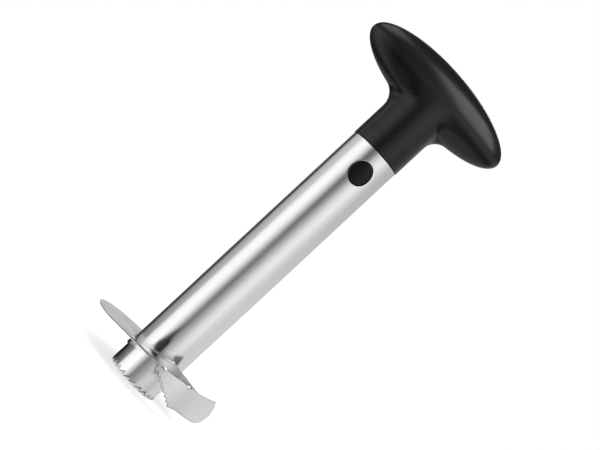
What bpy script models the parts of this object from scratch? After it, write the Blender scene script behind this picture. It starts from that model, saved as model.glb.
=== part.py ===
"""Pineapple slicer: a toothed steel core tube with a climbing slicing ring, under a T-handle that push buttons lock.

Metres, +Z up. The origin is on the tube's axis, level with the tips of the tube's teeth. The handle's bar lies
along X and the buttons move along Y. Angles are in degrees about Z, from -Y (the front) towards +X (the right).
The tool is turned clockwise seen from above, so its cutting edges face the falling angles.
"""

import math

import bmesh
import bpy

# Gaps and cutters
SEAT_GAP = 0.0003
OVERRUN = 0.002

# Core tube
TUBE_RADIUS = 0.016
TUBE_WALL_THICKNESS = 0.0008
TUBE_LENGTH = 0.1803
TUBE_TEETH = 24
TUBE_TOOTH_DEPTH = 0.0015
TUBE_TOOTH_BACK_SHARE = 0.8
TUBE_TOOTH_ANGLE = 3.0

# Slicing ring, a sheet that lies flat behind and on the left and climbs across the front
RING_RADIUS = 0.0434
RING_THICKNESS = 0.0008
RING_HEIGHT = 0.0168
RING_SLOPE = 0.09
RING_LEAD_OVERLAP_LENGTH = 0.0019
RING_CLIMB_ANGLE = -80.0
RING_CLIMB_EASE_ANGLE = 20.0
RING_TRAILING_ANGLE = 28.0
RING_BEVEL_WIDTH = 0.0018
RING_BEVEL_SHARE = 0.55
RING_GROUND_ANGLE = 5.0
RING_EDGE_SHARE = 0.25
RING_STEP_ANGLE = 6.0
HUB_DEPTH = 0.0046
HUB_WALL_THICKNESS = 0.0008
HUB_TRAILING_SHARE = 0.3

# Rim blade, an upright sheet bent to the ring's radius
BLADE_START_ANGLE = -10.0
BLADE_THICKNESS = 0.0008
BLADE_LIP_HEIGHT = 0.0004
BLADE_TOP_SLOPE = 0.107
BLADE_CORNER_ARC_LENGTH = 0.0494
BLADE_END_ARC_LENGTH = 0.061
BLADE_END_HEIGHT = 0.0165
BLADE_END_RADIUS = 0.026
BLADE_START_HEIGHT = 0.0008
BLADE_TIP_ARC_LENGTH = 0.024
BLADE_TIP_HEIGHT = 0.0085
BLADE_HEEL_HEIGHT = 0.0016
BLADE_HEEL_LENGTH = 0.003
BLADE_HEEL_ARC_LENGTH = 0.046
BLADE_TEETH = 9
BLADE_TOOTH_RUN_SHARE = 0.6
BLADE_TOOTH_HOOK_HEIGHT = 0.0003
BLADE_STEP_LENGTH = 0.0022

# Welds
TACK_CLIMB_ANGLES = (-0.6, 23.5)
TACK_LENGTH = 0.0056
TACK_WIDTH = 0.0022
TACK_HEIGHT = 0.0009
HUB_WELDS = 3
HUB_WELD_LENGTH = 0.005
HUB_WELD_WIDTH = 0.0012
HUB_WELD_HEIGHT = 0.0014

# Handle
COLLAR_STEP_DEPTH = 0.0003
STEM_LENGTH = 0.0459
BAR_HALF_LENGTH = 0.052
BAR_HALF_DEPTH = 0.0159
BAR_CROWN_HEIGHT = 0.0172
BAR_BELLY_HEIGHT = 0.0168
HANDLE_FILLET_RADIUS = 0.0105
HANDLE_WALL_THICKNESS = 0.0024
HANDLE_FLOOR_THICKNESS = 0.003
SECTION_POWER = 6.0
SECTION_FADE_SHARE = 0.4
RIB_THICKNESS = 0.0018
KEY_RIB_HALF_WIDTH = 0.006
KEY_RIB_SHARES = (-1.0, -0.6, -0.2, 0.2, 0.6, 1.0)

# Handle screws
SCREW_SPREAD_WIDTH = 0.03
STEM_SCREW_DROP_HEIGHT = 0.0125
SCREW_RADIUS = 0.0013
SCREW_HEAD_RADIUS = 0.0027
SCREW_HEAD_HEIGHT = 0.002
SCREW_SEAT_DEPTH = 0.006
SCREW_LENGTH = 0.0146
SCREW_RECESS_WIDTH = 0.0007
SCREW_RECESS_DEPTH = 0.001
SCREW_RECESS_SHARE = 0.7
BOSS_WALL_THICKNESS = 0.0013
PILOT_SPARE_LENGTH = 0.001

# Push buttons
BUTTON_DROP_HEIGHT = 0.0146
BUTTON_HALF_WIDTH = 0.0062
BUTTON_HALF_HEIGHT = 0.007
BUTTON_FACE_RECESS = 0.0001
BUTTON_FLANGE_WIDTH = 0.0014
BUTTON_FLANGE_OUTER = 0.0113
BUTTON_FLANGE_THICKNESS = 0.0011
BUTTON_FACE_THICKNESS = 0.0028
BUTTON_TRAVEL = 0.0035

# Springs
SPRING_RADIUS = 0.0026
SPRING_WIRE_RADIUS = 0.00035
SPRING_TURNS = 7
SPRING_TURN_POINTS = 10

# Latch body and its cap
LATCH_SKIRT_LENGTH = 0.0164
LATCH_WAIST_RADIUS = 0.0096
LATCH_HEAD_RADIUS = 0.0129
LATCH_HEAD_HEIGHT = 0.0061
LATCH_HEAD_HALF_DEPTH = 0.008
LATCH_CORE_RADIUS = 0.005
LATCH_CORE_FLOOR_THICKNESS = 0.004
CAP_THICKNESS = 0.0023
CAP_TONGUE_HALF_WIDTH = 0.004
CAP_TONGUE_HALF_DEPTH = 0.001
CAP_TONGUE_RISE_HEIGHT = 0.0065
CAP_POST_RADIUS = 0.0019
CAP_POST_LENGTH = 0.003
CAP_STOP_WIDTH = 0.0014
CAP_SCREW_SPREAD_WIDTH = 0.0114
CAP_SCREW_RADIUS = 0.0009
CAP_SCREW_HEAD_RADIUS = 0.0019
CAP_SCREW_HEAD_HEIGHT = 0.0011
CAP_SCREW_LENGTH = 0.0088

# Facets
TUBE_TOOTH_STEPS = 4
ROUND_SIDES = 48
SMALL_SIDES = 20
OVAL_SIDES = 36
HANDLE_SIDES = 22
FILLET_STEPS = 6
BELLY_STEPS = 6
CROWN_STEPS = 7
CROWN_END = 87.0
BEAD_RINGS = 4

# Sizes that follow from those above
RING_LEADING_ANGLE = (
    BLADE_START_ANGLE + math.degrees((BLADE_END_ARC_LENGTH - RING_LEAD_OVERLAP_LENGTH) / RING_RADIUS) - 360
)
BUTTON_HEIGHT = TUBE_LENGTH - BUTTON_DROP_HEIGHT
LATCH_BOTTOM = BUTTON_HEIGHT - LATCH_SKIRT_LENGTH
TUBE_BORE = TUBE_RADIUS - TUBE_WALL_THICKNESS
HANDLE_BOTTOM = TUBE_LENGTH + SEAT_GAP
STEM_RADIUS = TUBE_RADIUS + COLLAR_STEP_DEPTH
BAR_CENTRE = HANDLE_BOTTOM + STEM_LENGTH
BLADE_BORE = RING_RADIUS - BLADE_THICKNESS
RING_BORE = TUBE_RADIUS + SEAT_GAP
BUTTON_FACE = TUBE_RADIUS - BUTTON_FACE_RECESS
BUTTON_FLANGE_INNER = BUTTON_FLANGE_OUTER - BUTTON_FLANGE_THICKNESS
LATCH_RADIUS = TUBE_BORE - SEAT_GAP
LATCH_HEAD_BOTTOM = HANDLE_BOTTOM + HANDLE_FLOOR_THICKNESS + SEAT_GAP
LATCH_HEAD_TOP = LATCH_HEAD_BOTTOM + LATCH_HEAD_HEIGHT
SPRING_BORE = SPRING_RADIUS + SPRING_WIRE_RADIUS + SEAT_GAP


def clear_scene():
    for obj in list(bpy.data.objects):
        bpy.data.objects.remove(obj)


def plain_material(name, colour, roughness, metallic):
    """A Principled material in one colour."""
    material = bpy.data.materials.new(name)
    material.use_nodes = True
    shader = material.node_tree.nodes["Principled BSDF"]
    shader.inputs["Base Color"].default_value = (*colour, 1.0)
    shader.inputs["Roughness"].default_value = roughness
    shader.inputs["Metallic"].default_value = metallic
    return material


def steel(name):
    return plain_material(name, (0.72, 0.72, 0.71), 0.28, 1.0)


def black_plastic(name):
    return plain_material(name, (0.02, 0.02, 0.021), 0.5, 0.0)


def polar(radius, angle, height):
    """The point at this radius, this angle from the front in degrees, and this height."""
    turn = math.radians(angle)
    return (radius * math.sin(turn), -radius * math.cos(turn), height)


def loft(name, rings, material=None, closed=False):
    """Joins rings of as many points with faces, the last to the first if closed, and otherwise caps both ends."""
    mesh = bpy.data.meshes.new(name)
    bm = bmesh.new()
    rows = [[bm.verts.new(point) for point in ring] for ring in rings]
    pairs = list(zip(rows, rows[1:])) + ([(rows[-1], rows[0])] if closed else [])
    for low, high in pairs:
        for i in range(len(low)):
            j = (i + 1) % len(low)
            bm.faces.new((low[i], low[j], high[j], high[i]))
    if not closed:
        bm.faces.new(rows[0])
        bm.faces.new(rows[-1])
    bmesh.ops.recalc_face_normals(bm, faces=bm.faces)
    bm.to_mesh(mesh)
    bm.free()
    mesh.shade_smooth()
    mesh.set_sharp_from_angle(angle=math.radians(35))
    if material:
        mesh.materials.append(material)
    obj = bpy.data.objects.new(name, mesh)
    bpy.context.scene.collection.objects.link(obj)
    return obj


def oval(half_x, half_z, y, sides, centre=(0, 0)):
    """A ring of points in a plane across Y, round this X and Z."""
    turns = [math.tau * i / sides for i in range(sides)]
    return [(centre[0] + half_x * math.cos(t), y, centre[1] + half_z * math.sin(t)) for t in turns]


def circle(radius, z, sides, centre=(0, 0)):
    """A ring of points in a level plane, round this X and Y."""
    turns = [math.tau * i / sides for i in range(sides)]
    return [(centre[0] + radius * math.cos(t), centre[1] + radius * math.sin(t), z) for t in turns]


def block(name, low, high):
    """A box between two corners."""
    corners = [(low[0], low[1]), (high[0], low[1]), (high[0], high[1]), (low[0], high[1])]
    return loft(name, [[(x, y, z) for x, y in corners] for z in (low[2], high[2])])


def apply_boolean(target, tool, operation="DIFFERENCE"):
    """Cuts, joins or keeps what a hidden tool covers. The tool rides on its target."""
    tool.hide_render = True
    tool.display_type = "WIRE"
    tool.parent = target
    modifier = target.modifiers.new(tool.name, "BOOLEAN")
    modifier.operation = operation
    modifier.solver = "EXACT"
    modifier.object = tool


def ring_level(angle):
    """Height of the ring's underside. It lies flat, eases into the climb and then rises evenly."""
    past = math.radians(max(angle - RING_CLIMB_ANGLE, 0))
    ease = math.radians(RING_CLIMB_EASE_ANGLE)
    run = past * past / (2 * ease) if past < ease else past - ease / 2
    return RING_HEIGHT + RING_SLOPE * RING_RADIUS * run


def blade_angle(arc):
    """The angle of the place this far round the rim blade from its start."""
    return BLADE_START_ANGLE + math.degrees(arc / RING_RADIUS)


def make_core_tube():
    """The tube, with saw teeth whose steep sides lead, and an oval window for each button."""
    pitch = 360 / TUBE_TEETH
    rings = []
    for tooth in range(TUBE_TEETH):
        for step in range(TUBE_TOOTH_STEPS):
            share = step / (TUBE_TOOTH_STEPS - 1)
            angle = TUBE_TOOTH_ANGLE + pitch * (tooth + share * TUBE_TOOTH_BACK_SHARE)
            bottom = TUBE_TOOTH_DEPTH * share
            rings.append([
                polar(TUBE_RADIUS, angle, bottom),
                polar(TUBE_RADIUS, angle, TUBE_LENGTH),
                polar(TUBE_BORE, angle, TUBE_LENGTH),
                polar(TUBE_BORE, angle, bottom),
            ])
    tube = loft("core_tube", rings, steel("tube_steel"), closed=True)
    window = button_prism("tube_window", SEAT_GAP, -TUBE_RADIUS - OVERRUN, TUBE_RADIUS + OVERRUN)
    apply_boolean(tube, window)
    window.location.z = BUTTON_HEIGHT


def make_slicing_ring():
    """The ring sheet: flanged down round the tube, ground at its rim, and ground thin at its leading edge."""
    first, last = RING_LEADING_ANGLE, RING_TRAILING_ANGLE
    steps = math.ceil((last - first) / RING_STEP_ANGLE)
    even = [first + (last - first) * i / steps for i in range(steps + 1)]
    gap = math.degrees(SEAT_GAP / RING_RADIUS)
    blade_ends = (blade_angle(BLADE_END_ARC_LENGTH) - 360 + gap, BLADE_START_ANGLE - gap)
    notch = [end + side * gap / 2 for end in blade_ends for side in (-1, 1)]
    rings = []
    for angle in sorted(even + notch):
        beside_blade = angle < blade_ends[0] or angle > blade_ends[1]
        edge = BLADE_BORE - SEAT_GAP if beside_blade else RING_RADIUS
        thin = min(1.0, RING_EDGE_SHARE + (1 - RING_EDGE_SHARE) * (angle - first) / RING_GROUND_ANGLE)
        bottom = ring_level(angle)
        top = bottom + RING_THICKNESS * thin
        bevel = top - RING_THICKNESS * thin * (0 if beside_blade else RING_BEVEL_SHARE)
        climbed = max(angle - RING_CLIMB_ANGLE, 0) / (last - RING_CLIMB_ANGLE)
        hub_bottom = bottom - HUB_DEPTH * (1 - (1 - HUB_TRAILING_SHARE) * climbed)
        rings.append([
            polar(RING_BORE, angle, top),
            polar(edge - RING_BEVEL_WIDTH, angle, top),
            polar(edge, angle, bevel),
            polar(edge, angle, bottom),
            polar(RING_BORE + HUB_WALL_THICKNESS, angle, bottom),
            polar(RING_BORE + HUB_WALL_THICKNESS, angle, hub_bottom),
            polar(RING_BORE, angle, hub_bottom),
        ])
    loft("slicing_ring", rings, steel("ring_steel"))


def blade_top(arc):
    """Height of the rim blade's upper edge: an even climb, and then an arc down to the blade's end."""
    start = ring_level(BLADE_START_ANGLE) + BLADE_LIP_HEIGHT
    if arc <= BLADE_CORNER_ARC_LENGTH:
        return start + BLADE_TOP_SLOPE * arc
    corner = (BLADE_CORNER_ARC_LENGTH, start + BLADE_TOP_SLOPE * BLADE_CORNER_ARC_LENGTH)
    end = (BLADE_END_ARC_LENGTH, BLADE_END_HEIGHT)
    across, down = end[0] - corner[0], corner[1] - end[1]
    chord = math.hypot(across, down)
    reach = math.sqrt(BLADE_END_RADIUS**2 - chord**2 / 4)
    centre = (
        (corner[0] + end[0]) / 2 - reach * down / chord,
        (corner[1] + end[1]) / 2 - reach * across / chord,
    )
    return centre[1] + math.sqrt(max(BLADE_END_RADIUS**2 - (arc - centre[0]) ** 2, 0))


def blade_line(arc):
    """Height of the slanted line that the blade's teeth lie on."""
    start = ring_level(BLADE_START_ANGLE) + BLADE_LIP_HEIGHT - BLADE_START_HEIGHT
    return start + (BLADE_TIP_HEIGHT - start) * arc / BLADE_TIP_ARC_LENGTH


def blade_bottom(arc):
    """Height of the blade's lower edge behind its last tooth: a short rise, a level run and a round end."""
    heel = BLADE_TIP_HEIGHT + BLADE_HEEL_HEIGHT * (1 - math.exp((BLADE_TIP_ARC_LENGTH - arc) / BLADE_HEEL_LENGTH))
    past = max(arc - BLADE_HEEL_ARC_LENGTH, 0) / (BLADE_END_ARC_LENGTH - BLADE_HEEL_ARC_LENGTH)
    return BLADE_END_HEIGHT - (BLADE_END_HEIGHT - heel) * math.sqrt(max(1 - past * past, 0))


def make_rim_blade():
    """The upright blade as columns along its arc: stepped teeth, then the plain edge to the rounded end."""
    pitch = BLADE_TIP_ARC_LENGTH / BLADE_TEETH
    run = pitch * BLADE_TOOTH_RUN_SHARE
    columns = [(0.0, blade_line(0)), (run, blade_line(0) + BLADE_TOOTH_HOOK_HEIGHT)]
    for tooth in range(1, BLADE_TEETH):
        tip = tooth * pitch
        columns.append((tip, blade_line(tip)))
        columns.append((tip + run, blade_line(tip) + BLADE_TOOTH_HOOK_HEIGHT))
    columns.append((BLADE_TIP_ARC_LENGTH, BLADE_TIP_HEIGHT))
    even = math.ceil((BLADE_CORNER_ARC_LENGTH - BLADE_TIP_ARC_LENGTH) / BLADE_STEP_LENGTH)
    for i in range(1, even + 1):
        arc = BLADE_TIP_ARC_LENGTH + (BLADE_CORNER_ARC_LENGTH - BLADE_TIP_ARC_LENGTH) * i / even
        columns.append((arc, blade_bottom(arc)))
    # The end's columns crowd towards its tip, where both edges turn upright.
    end = math.ceil((BLADE_END_ARC_LENGTH - BLADE_CORNER_ARC_LENGTH) / BLADE_STEP_LENGTH) + 3
    for i in range(1, end):
        arc = BLADE_CORNER_ARC_LENGTH + (BLADE_END_ARC_LENGTH - BLADE_CORNER_ARC_LENGTH) * math.sin(math.pi / 2 * i / end)
        columns.append((arc, blade_bottom(arc)))
    rings = []
    for arc, bottom in columns:
        angle, top = blade_angle(arc), blade_top(arc)
        rings.append([
            polar(RING_RADIUS, angle, bottom),
            polar(RING_RADIUS, angle, top),
            polar(BLADE_BORE, angle, top),
            polar(BLADE_BORE, angle, bottom),
        ])
    loft("rim_blade", rings, steel("blade_steel"))


def make_bead(name, length, width, height):
    """A weld bead: half of a flattened ball, flat side down, as long as it is along X."""
    rings = []
    for i in range(BEAD_RINGS):
        rise = math.pi / 2 * i / BEAD_RINGS
        half_x, half_y = length / 2 * math.cos(rise), width / 2 * math.cos(rise)
        turns = [math.tau * j / SMALL_SIDES for j in range(SMALL_SIDES)]
        z = height * math.sin(rise)
        rings.append([(half_x * math.cos(t), half_y * math.sin(t), z) for t in turns])
    return loft(name, rings, steel(name + "_steel"))


def make_welds():
    """Tack welds over the joint of ring and blade, and short welds where the ring's hub ends on the tube."""
    lead_angle = RING_LEADING_ANGLE + math.degrees(0.75 * TACK_LENGTH / RING_RADIUS)
    for number, angle in enumerate((lead_angle, *TACK_CLIMB_ANGLES), 1):
        climbing = angle > RING_CLIMB_ANGLE
        tack = make_bead(f"tack_weld_{number}", TACK_LENGTH, TACK_WIDTH, TACK_HEIGHT)
        # At its leading end the ring meets the blade's inner face, and on the climb its upper edge.
        outside = RING_RADIUS if climbing else BLADE_BORE - SEAT_GAP
        level = ring_level(angle) + RING_THICKNESS + SEAT_GAP
        tack.location = polar(outside - TACK_WIDTH / 2, angle, level)
        tack.rotation_euler = (0, -math.atan(RING_SLOPE) if climbing else 0, math.radians(angle))
    flat = RING_CLIMB_ANGLE - RING_LEADING_ANGLE
    for number in range(HUB_WELDS):
        angle = RING_LEADING_ANGLE + flat * (number + 0.5) / HUB_WELDS
        weld = make_bead(f"hub_weld_{number + 1}", HUB_WELD_LENGTH, HUB_WELD_WIDTH, HUB_WELD_HEIGHT)
        radius = RING_BORE + HUB_WELD_WIDTH / 2
        weld.location = polar(radius, angle, RING_HEIGHT - HUB_DEPTH - SEAT_GAP)
        weld.rotation_euler = (math.pi, 0, math.radians(angle))


def smooth_step(share):
    share = min(max(share, 0), 1)
    return share * share * (3 - 2 * share)


def handle_levels(inset):
    """(half width, half depth, height, stem share) from the collar to the crown, set in from the outside.

    Seen from the front the outline is the stem, a fillet that meets the bar's lower ellipse in a tangent, and the
    bar's two half ellipses.
    """
    stem, fillet = STEM_RADIUS - inset, HANDLE_FILLET_RADIUS + inset
    length, belly = BAR_HALF_LENGTH - inset, BAR_BELLY_HEIGHT - inset
    crown, depth = BAR_CROWN_HEIGHT - inset, BAR_HALF_DEPTH - inset

    def fillet_centre(turn):
        """Centre of a fillet circle that touches the lower ellipse at this turn below its end."""
        across, down = math.cos(turn) / length, math.sin(turn) / belly
        size = math.hypot(across, down)
        x = length * math.cos(turn) + fillet * across / size
        z = BAR_CENTRE - belly * math.sin(turn) - fillet * down / size
        return x, z, math.atan2(down, across)

    low, high = 0.0, math.pi / 2
    for _ in range(60):
        middle = (low + high) / 2
        if fillet_centre(middle)[0] > stem + fillet:
            low = middle
        else:
            high = middle
    _, fillet_z, meet = fillet_centre(low)
    outline = [(stem, HANDLE_BOTTOM - (OVERRUN if inset else 0))]
    for i in range(FILLET_STEPS):
        turn = meet * i / FILLET_STEPS
        outline.append((stem + fillet * (1 - math.cos(turn)), fillet_z + fillet * math.sin(turn)))
    for i in range(BELLY_STEPS):
        turn = low * (1 - i / BELLY_STEPS)
        outline.append((length * math.cos(turn), BAR_CENTRE - belly * math.sin(turn)))
    levels = []
    fade = SECTION_FADE_SHARE * BAR_CROWN_HEIGHT
    for half_width, z in outline:
        above = smooth_step((z - fillet_z) / (BAR_CENTRE - fillet_z))
        share = smooth_step((BAR_CENTRE + fade - z) / (2 * fade))
        levels.append((half_width, stem + (depth - stem) * above, z, share))
    for i in range(CROWN_STEPS + 1):
        turn = math.radians(CROWN_END) * i / CROWN_STEPS
        z = BAR_CENTRE + crown * math.sin(turn)
        share = smooth_step((BAR_CENTRE + fade - z) / (2 * fade))
        levels.append((length * math.cos(turn), depth * math.cos(turn), z, share))
    return levels


def handle_section(level, inset, side):
    """Half of a level section, on the front for side -1 and behind for 1, closed along the parting plane.

    The section joins the stem's circle and the bar's oval softly, and is scaled to the level's own width and depth.
    """
    half_width, half_depth, z, share = level
    stem, length, depth = STEM_RADIUS - inset, BAR_HALF_LENGTH - inset, BAR_HALF_DEPTH - inset
    round_part = stem * share
    wing = max(half_width**SECTION_POWER - round_part**SECTION_POWER, 0) ** (1 / SECTION_POWER)
    wing_depth = depth * wing / length

    def joined(turn):
        oval_part = 0.0
        if wing > 0:
            oval_part = 1 / math.hypot(math.cos(turn) / wing, math.sin(turn) / wing_depth)
        return (round_part**SECTION_POWER + oval_part**SECTION_POWER) ** (1 / SECTION_POWER)

    points = []
    for i in range(HANDLE_SIDES + 1):
        even = math.pi * i / HANDLE_SIDES
        turn = math.atan2(half_depth * math.sin(even), half_width * math.cos(even))
        deep = half_depth / joined(math.pi / 2)
        radius = joined(turn) * (math.cos(turn) ** 2 + deep * math.sin(turn) ** 2)
        y = SEAT_GAP / 2 + radius * math.sin(turn) * (1 - SEAT_GAP / 2 / half_depth)
        points.append((radius * math.cos(turn), side * y, z))
    if inset:
        points[0] = (points[0][0], -side * OVERRUN, z)
        points[-1] = (points[-1][0], -side * OVERRUN, z)
    return points


def half_round(name, radius, bottom, top, side):
    """Half of an upright cylinder, up to half a gap from the parting plane."""
    rings = []
    for z in (bottom, top):
        turns = [math.pi * i / HANDLE_SIDES for i in range(HANDLE_SIDES + 1)]
        rings.append([
            (radius * math.cos(t), side * (SEAT_GAP / 2 + (radius - SEAT_GAP / 2) * math.sin(t)), z) for t in turns
        ])
    return loft(name, rings)


def rod_y(name, radius, start, end, centre, sides=SMALL_SIDES):
    """A round rod along Y round this X and Z."""
    return loft(name, [oval(radius, radius, y, sides, centre) for y in (start, end)])


def screw_places():
    """(X, Z) of each handle screw: one in each arm of the bar and one above the stem."""
    return [
        (-SCREW_SPREAD_WIDTH, BAR_CENTRE),
        (SCREW_SPREAD_WIDTH, BAR_CENTRE),
        (0.0, BAR_CENTRE - STEM_SCREW_DROP_HEIGHT),
    ]


def outer_depth(x):
    """Half depth of the handle's bar at this X, at the height of its centre."""
    return BAR_HALF_DEPTH * math.sqrt(1 - (x / BAR_HALF_LENGTH) ** 2)


def make_handle_shell(name, side):
    """One half of the hollow handle, with its floor, ribs and screw bosses. Side is -1 in front and 1 behind."""
    rings = [handle_section(level, 0, side) for level in handle_levels(0)]
    shell = loft(name, rings, black_plastic(name + "_plastic"))
    rings = [handle_section(level, HANDLE_WALL_THICKNESS, side) for level in handle_levels(HANDLE_WALL_THICKNESS)]
    apply_boolean(shell, loft(name + "_hollow", rings))
    mid_wall = STEM_RADIUS - HANDLE_WALL_THICKNESS / 2
    floor_top = HANDLE_BOTTOM + HANDLE_FLOOR_THICKNESS
    apply_boolean(shell, half_round(name + "_floor", mid_wall, HANDLE_BOTTOM, floor_top, side), "UNION")
    rib_bottom = LATCH_HEAD_TOP + SEAT_GAP
    rib = half_round(name + "_rib", mid_wall, rib_bottom, rib_bottom + RIB_THICKNESS, side)
    apply_boolean(shell, rib, "UNION")
    key_face = LATCH_HEAD_HALF_DEPTH + SEAT_GAP
    key_turn = math.degrees(math.asin(KEY_RIB_HALF_WIDTH / mid_wall))
    back = [polar(mid_wall, key_turn * share, 0) for share in KEY_RIB_SHARES]
    outline = [(x, -side * y) for x, y, _ in back]
    outline += [(outline[-1][0], side * key_face), (outline[0][0], side * key_face)]
    key = loft(name + "_key", [
        [(x, y, z) for x, y in outline]
        for z in (HANDLE_BOTTOM + HANDLE_FLOOR_THICKNESS / 2, rib_bottom + RIB_THICKNESS / 2)
    ])
    apply_boolean(shell, key, "UNION")
    boss_radius = (SCREW_HEAD_RADIUS + SEAT_GAP if side > 0 else SCREW_RADIUS + SEAT_GAP) + BOSS_WALL_THICKNESS
    for number, (x, z) in enumerate(screw_places(), 1):
        boss_end = outer_depth(x) - HANDLE_WALL_THICKNESS / 2
        boss = rod_y(f"{name}_boss_{number}", boss_radius, side * SEAT_GAP / 2, side * boss_end, (x, z))
        apply_boolean(shell, boss, "UNION")
    waist = LATCH_WAIST_RADIUS + SEAT_GAP
    hole = loft(name + "_waist", [
        circle(waist, z, ROUND_SIDES) for z in (HANDLE_BOTTOM - OVERRUN, floor_top + OVERRUN)
    ])
    apply_boolean(shell, hole)
    for number, (x, z) in enumerate(screw_places(), 1):
        shank = SCREW_RADIUS + SEAT_GAP
        if side > 0:
            through = rod_y(f"{name}_hole_{number}", shank, -OVERRUN, outer_depth(x), (x, z))
            seat = rod_y(
                f"{name}_seat_{number}", SCREW_HEAD_RADIUS + SEAT_GAP, SCREW_SEAT_DEPTH,
                BAR_HALF_DEPTH + OVERRUN, (x, z),
            )
            apply_boolean(shell, through)
            apply_boolean(shell, seat)
        else:
            depth = SCREW_LENGTH - SCREW_SEAT_DEPTH + PILOT_SPARE_LENGTH
            apply_boolean(shell, rod_y(f"{name}_pilot_{number}", shank, -depth, OVERRUN, (x, z)))


def cut_recess(screw, radius, top):
    """A cross recess in a screw head whose top is at this height along the screw's own Z."""
    reach, half = radius * SCREW_RECESS_SHARE, SCREW_RECESS_WIDTH / 2
    depth = min(SCREW_RECESS_DEPTH, (top - 0) / 2)
    for name, half_x, half_y in (("recess_a", reach, half), ("recess_b", half, reach)):
        low, high = (-half_x, -half_y, top - depth), (half_x, half_y, top + OVERRUN)
        apply_boolean(screw, block(f"{screw.name}_{name}", low, high))


def make_screw(name, radius, length, head_radius, head_height):
    """A pan-head screw along its own Z, its head standing on Z = 0 and its shank pointing down."""
    rings = [
        circle(radius / 2, -length, SMALL_SIDES),
        circle(radius, radius / 2 - length, SMALL_SIDES),
        circle(radius, 0, SMALL_SIDES),
        circle(head_radius, 0, SMALL_SIDES),
        circle(head_radius, head_height / 2, SMALL_SIDES),
        circle(head_radius * SCREW_RECESS_SHARE, head_height, SMALL_SIDES),
    ]
    screw = loft(name, rings, steel(name + "_steel"))
    cut_recess(screw, head_radius * SCREW_RECESS_SHARE, head_height)
    return screw


def make_handle_screws():
    """Self-tapping screws that go in from behind and draw the two shells together."""
    for number, (x, z) in enumerate(screw_places(), 1):
        screw = make_screw(
            f"handle_screw_{number}", SCREW_RADIUS, SCREW_LENGTH, SCREW_HEAD_RADIUS, SCREW_HEAD_HEIGHT
        )
        screw.location = (x, SCREW_SEAT_DEPTH + SEAT_GAP, z)
        screw.rotation_euler.x = -math.pi / 2


def button_prism(name, spread, start, end):
    """The button's oval, spread outwards and run along Y."""
    half_x, half_z = BUTTON_HALF_WIDTH + spread, BUTTON_HALF_HEIGHT + spread
    return loft(name, [oval(half_x, half_z, y, OVAL_SIDES) for y in (start, end)])


def make_button(name, turn):
    """A push button about its own centre height, facing -Y before it is turned: face, flange and spring cup."""
    flange_x, flange_z = BUTTON_HALF_WIDTH + BUTTON_FLANGE_WIDTH, BUTTON_HALF_HEIGHT + BUTTON_FLANGE_WIDTH
    rings = [
        oval(BUTTON_HALF_WIDTH, BUTTON_HALF_HEIGHT, -BUTTON_FACE - OVERRUN, OVAL_SIDES),
        oval(BUTTON_HALF_WIDTH, BUTTON_HALF_HEIGHT, -BUTTON_FLANGE_OUTER, OVAL_SIDES),
        oval(flange_x, flange_z, -BUTTON_FLANGE_OUTER, OVAL_SIDES),
        oval(flange_x, flange_z, -BUTTON_FLANGE_INNER, OVAL_SIDES),
    ]
    button = loft(name, rings, black_plastic(name + "_plastic"))
    reach = flange_z + OVERRUN
    face = loft(name + "_face", [circle(BUTTON_FACE, z, 2 * ROUND_SIDES) for z in (-reach, reach)])
    apply_boolean(button, face, "INTERSECT")
    cup = rod_y(name + "_cup", SPRING_BORE, BUTTON_FACE_THICKNESS - BUTTON_FACE, OVERRUN - BUTTON_FLANGE_INNER, (0, 0))
    apply_boolean(button, cup)
    button.location.z = BUTTON_HEIGHT
    button.rotation_euler.z = turn


def make_spring(name, turn):
    """A compression spring from the cap's tongue to the bottom of the button's cup, wound round Y."""
    start = CAP_TONGUE_HALF_DEPTH + SEAT_GAP + SPRING_WIRE_RADIUS
    end = BUTTON_FACE - BUTTON_FACE_THICKNESS - SEAT_GAP - SPRING_WIRE_RADIUS
    curve = bpy.data.curves.new(name, "CURVE")
    curve.dimensions = "3D"
    curve.bevel_depth = SPRING_WIRE_RADIUS
    curve.bevel_resolution = 1
    curve.use_fill_caps = True
    count = SPRING_TURNS * SPRING_TURN_POINTS + 1
    spline = curve.splines.new("POLY")
    spline.points.add(count - 1)
    for i, point in enumerate(spline.points):
        angle = math.tau * i / SPRING_TURN_POINTS
        y = -(start + (end - start) * i / (count - 1))
        point.co = (SPRING_RADIUS * math.cos(angle), y, SPRING_RADIUS * math.sin(angle), 1)
    gap = (end - start) / SPRING_TURNS - 2 * SPRING_WIRE_RADIUS
    print(f"{name}: least gap between turns {gap * 1000:.2f} mm")
    curve.materials.append(steel(name + "_steel"))
    spring = bpy.data.objects.new(name, curve)
    bpy.context.scene.collection.objects.link(spring)
    spring.location.z = BUTTON_HEIGHT
    spring.rotation_euler.z = turn


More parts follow.
